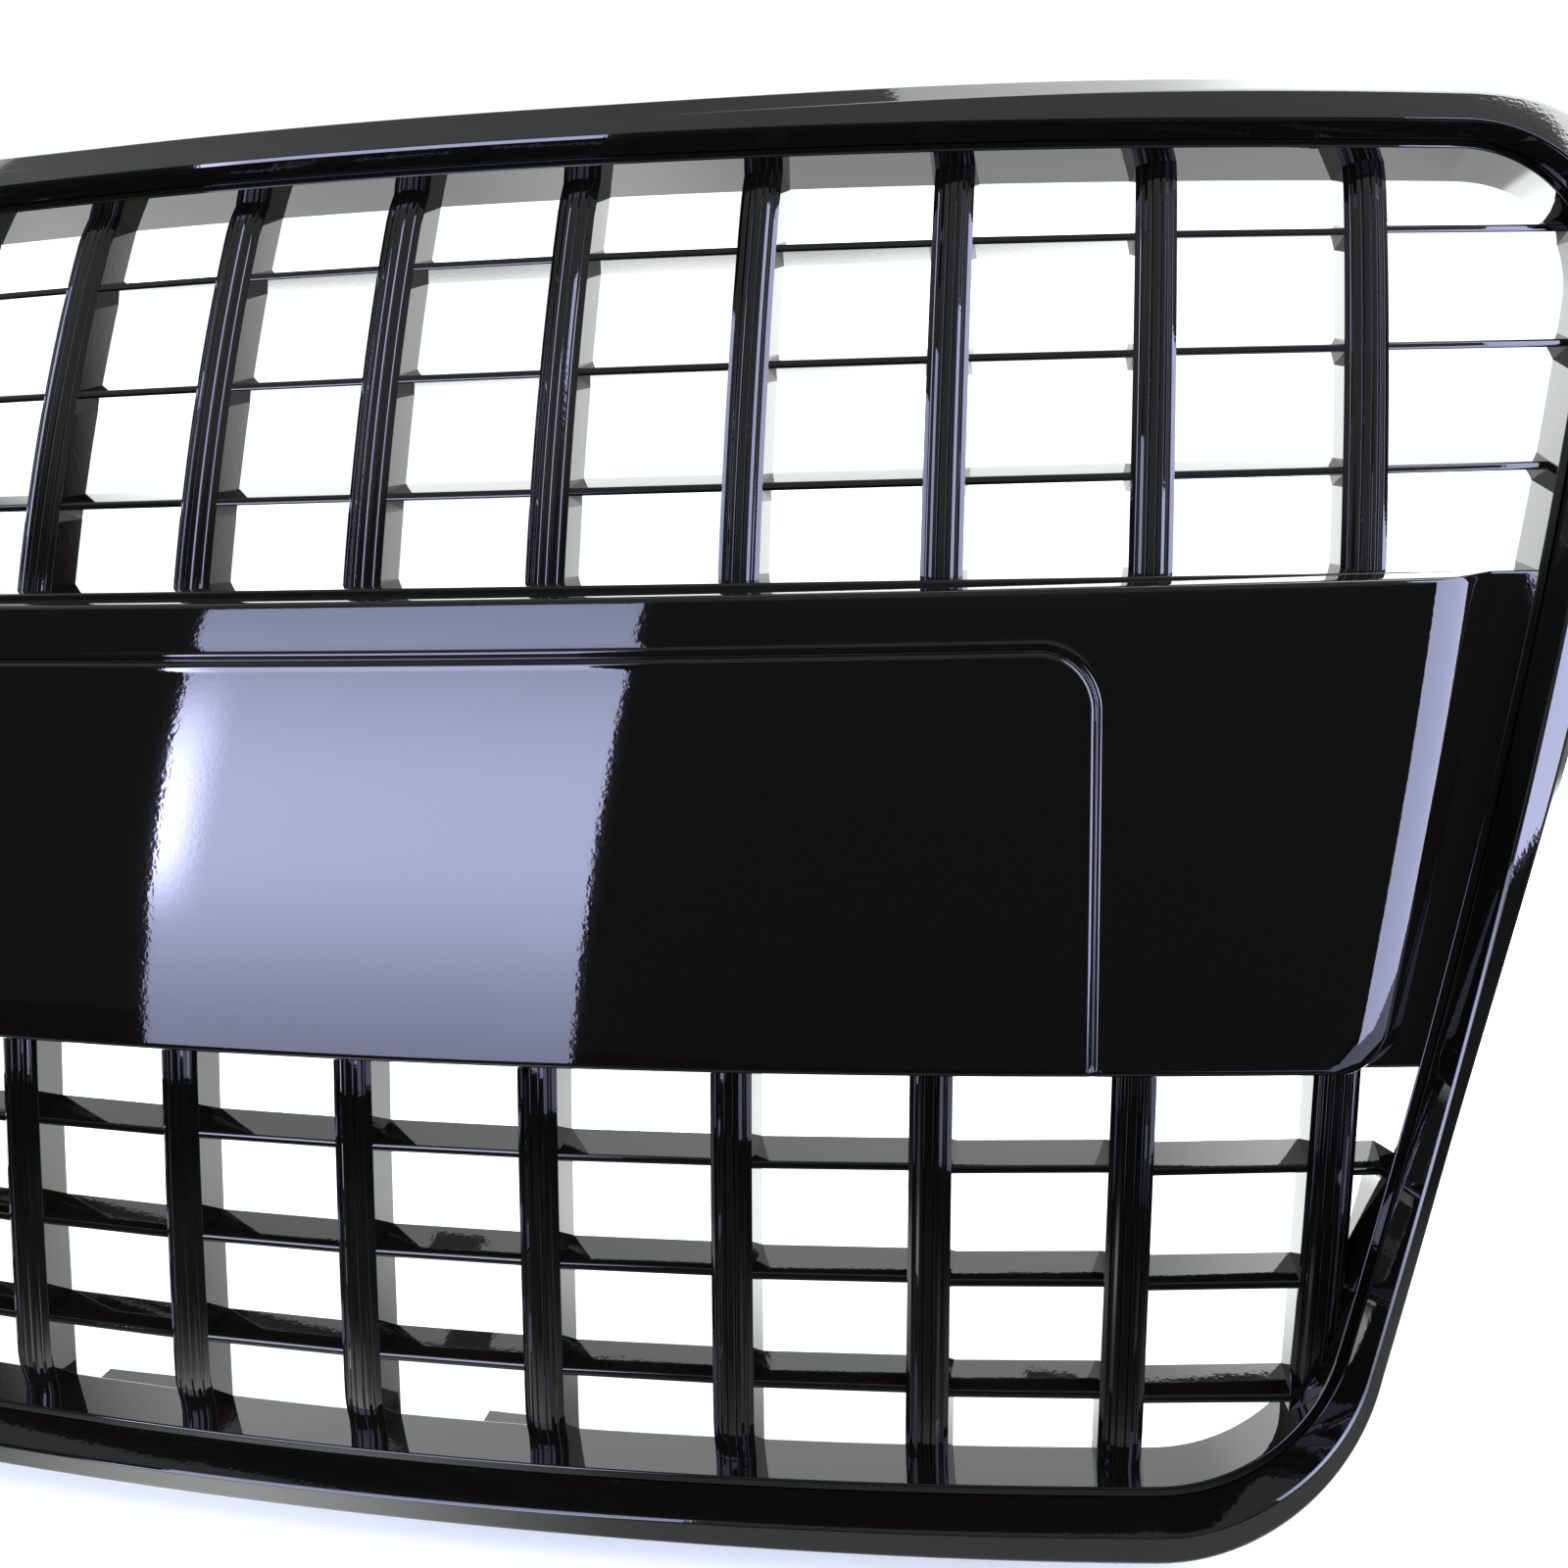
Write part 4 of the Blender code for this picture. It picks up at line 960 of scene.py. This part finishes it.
def right_softbox_corners():
    """Corners of the right softbox, from its angles (degrees) round and up as seen from the grille."""
    corners = []
    for around, up in RIGHT_CORNERS:
        turn = math.radians(around)
        corners.append((RIGHT_CENTRE[0] + RIGHT_DISTANCE * math.sin(turn),
                        RIGHT_CENTRE[1] - RIGHT_DISTANCE * math.cos(turn),
                        RIGHT_DISTANCE * math.tan(math.radians(up))))
    return corners


def make_softboxes():
    """A large softbox at the front left, one round the right side, one low, and a strip at the far left."""
    make_left_softbox()
    plain_light("softbox_right", right_softbox_corners(), RIGHT_STRENGTH)
    plain_light("softbox_low", LOW_BOX, LOW_STRENGTH)
    plain_light("strip_left", LEFT_STRIP, LEFT_STRIP_STRENGTH)


def make_world():
    """Dim room for what the grille mirrors; pale where the camera looks past the stage."""
    world = bpy.data.worlds.new("studio")
    bpy.context.scene.world = world
    world.use_nodes = True
    tree = world.node_tree
    background = tree.nodes["Background"]
    heading = new_node(tree, "TexCoord")
    split = new_node(tree, "SeparateXYZ")
    tree.links.new(heading.outputs["Generated"], split.inputs["Vector"])
    overhead = ramp_between(tree, split.outputs["Z"], *WORLD_OVERHEAD)
    behind = ramp_between(tree, split.outputs["Y"], *WORLD_BEHIND)
    path = new_node(tree, "LightPath")
    mix = new_node(tree, "Mix", data_type="FLOAT")
    tree.links.new(path.outputs["Is Camera Ray"], mix.inputs["Factor"])
    tree.links.new(combine(tree, "ADD", overhead, behind), mix.inputs["A"])
    mix.inputs["B"].default_value = WORLD_SEEN
    tree.links.new(mix.outputs["Result"], background.inputs["Strength"])
    background.inputs["Color"].default_value = (*WORLD_COLOR, 1)


def make_camera():
    """Camera right of the centre plane at close range, turned down and to the left."""
    data = bpy.data.cameras.new("camera")
    data.sensor_width = CAMERA_SENSOR
    data.lens = CAMERA_LENS
    data.clip_start = CAMERA_NEAR
    camera = bpy.data.objects.new("camera", data)
    bpy.context.scene.collection.objects.link(camera)
    tilt = Vector(CAMERA_TURN)
    turn = Matrix.Rotation(tilt.length, 3, tilt.normalized())
    ahead = Matrix(((1, 0, 0), (0, 0, -1), (0, 1, 0)))
    rows = turn @ ahead
    columns = Matrix((rows[0], -rows[1], -rows[2])).transposed()
    camera.matrix_world = Matrix.Translation(CAMERA_PLACE) @ columns.to_4x4()
    bpy.context.scene.camera = camera


gloss = gloss_plastic("gloss_black", GLOSS_BASE, specks=True)
strip_gloss = gloss_plastic("gloss_black_strip", STRIP_BASE, specks=False)
make_surround(gloss)
make_rim(gloss)
opening = opening_cutter()
upper_end, lower_end = CARRIER_TOP - MESH_UNDER_CARRIER, CARRIER_BOTTOM + MESH_OVER_FOOT
make_mesh("mesh_upper", "upper_mesh", UPPER_SLATS, (MESH_TOP, upper_end), opening, gloss)
make_mesh("mesh_lower", "lower_mesh", LOWER_SLATS, (lower_end, MESH_BOTTOM), opening, gloss)
make_strips("upper", upper_end, MESH_TOP, opening, strip_gloss)
make_strips("lower", MESH_BOTTOM, lower_end, opening, strip_gloss)
make_carrier(opening, gloss)
make_panel(gloss)
bpy.data.objects.remove(opening)
dress_hardware()
floor_level = cad_box[0].z - FLOOR_GAP
make_floor(floor_level)
make_backdrop(floor_level)
make_ceiling_light()
make_softboxes()
make_world()
make_camera()
bpy.context.scene.view_settings.view_transform = "Standard"
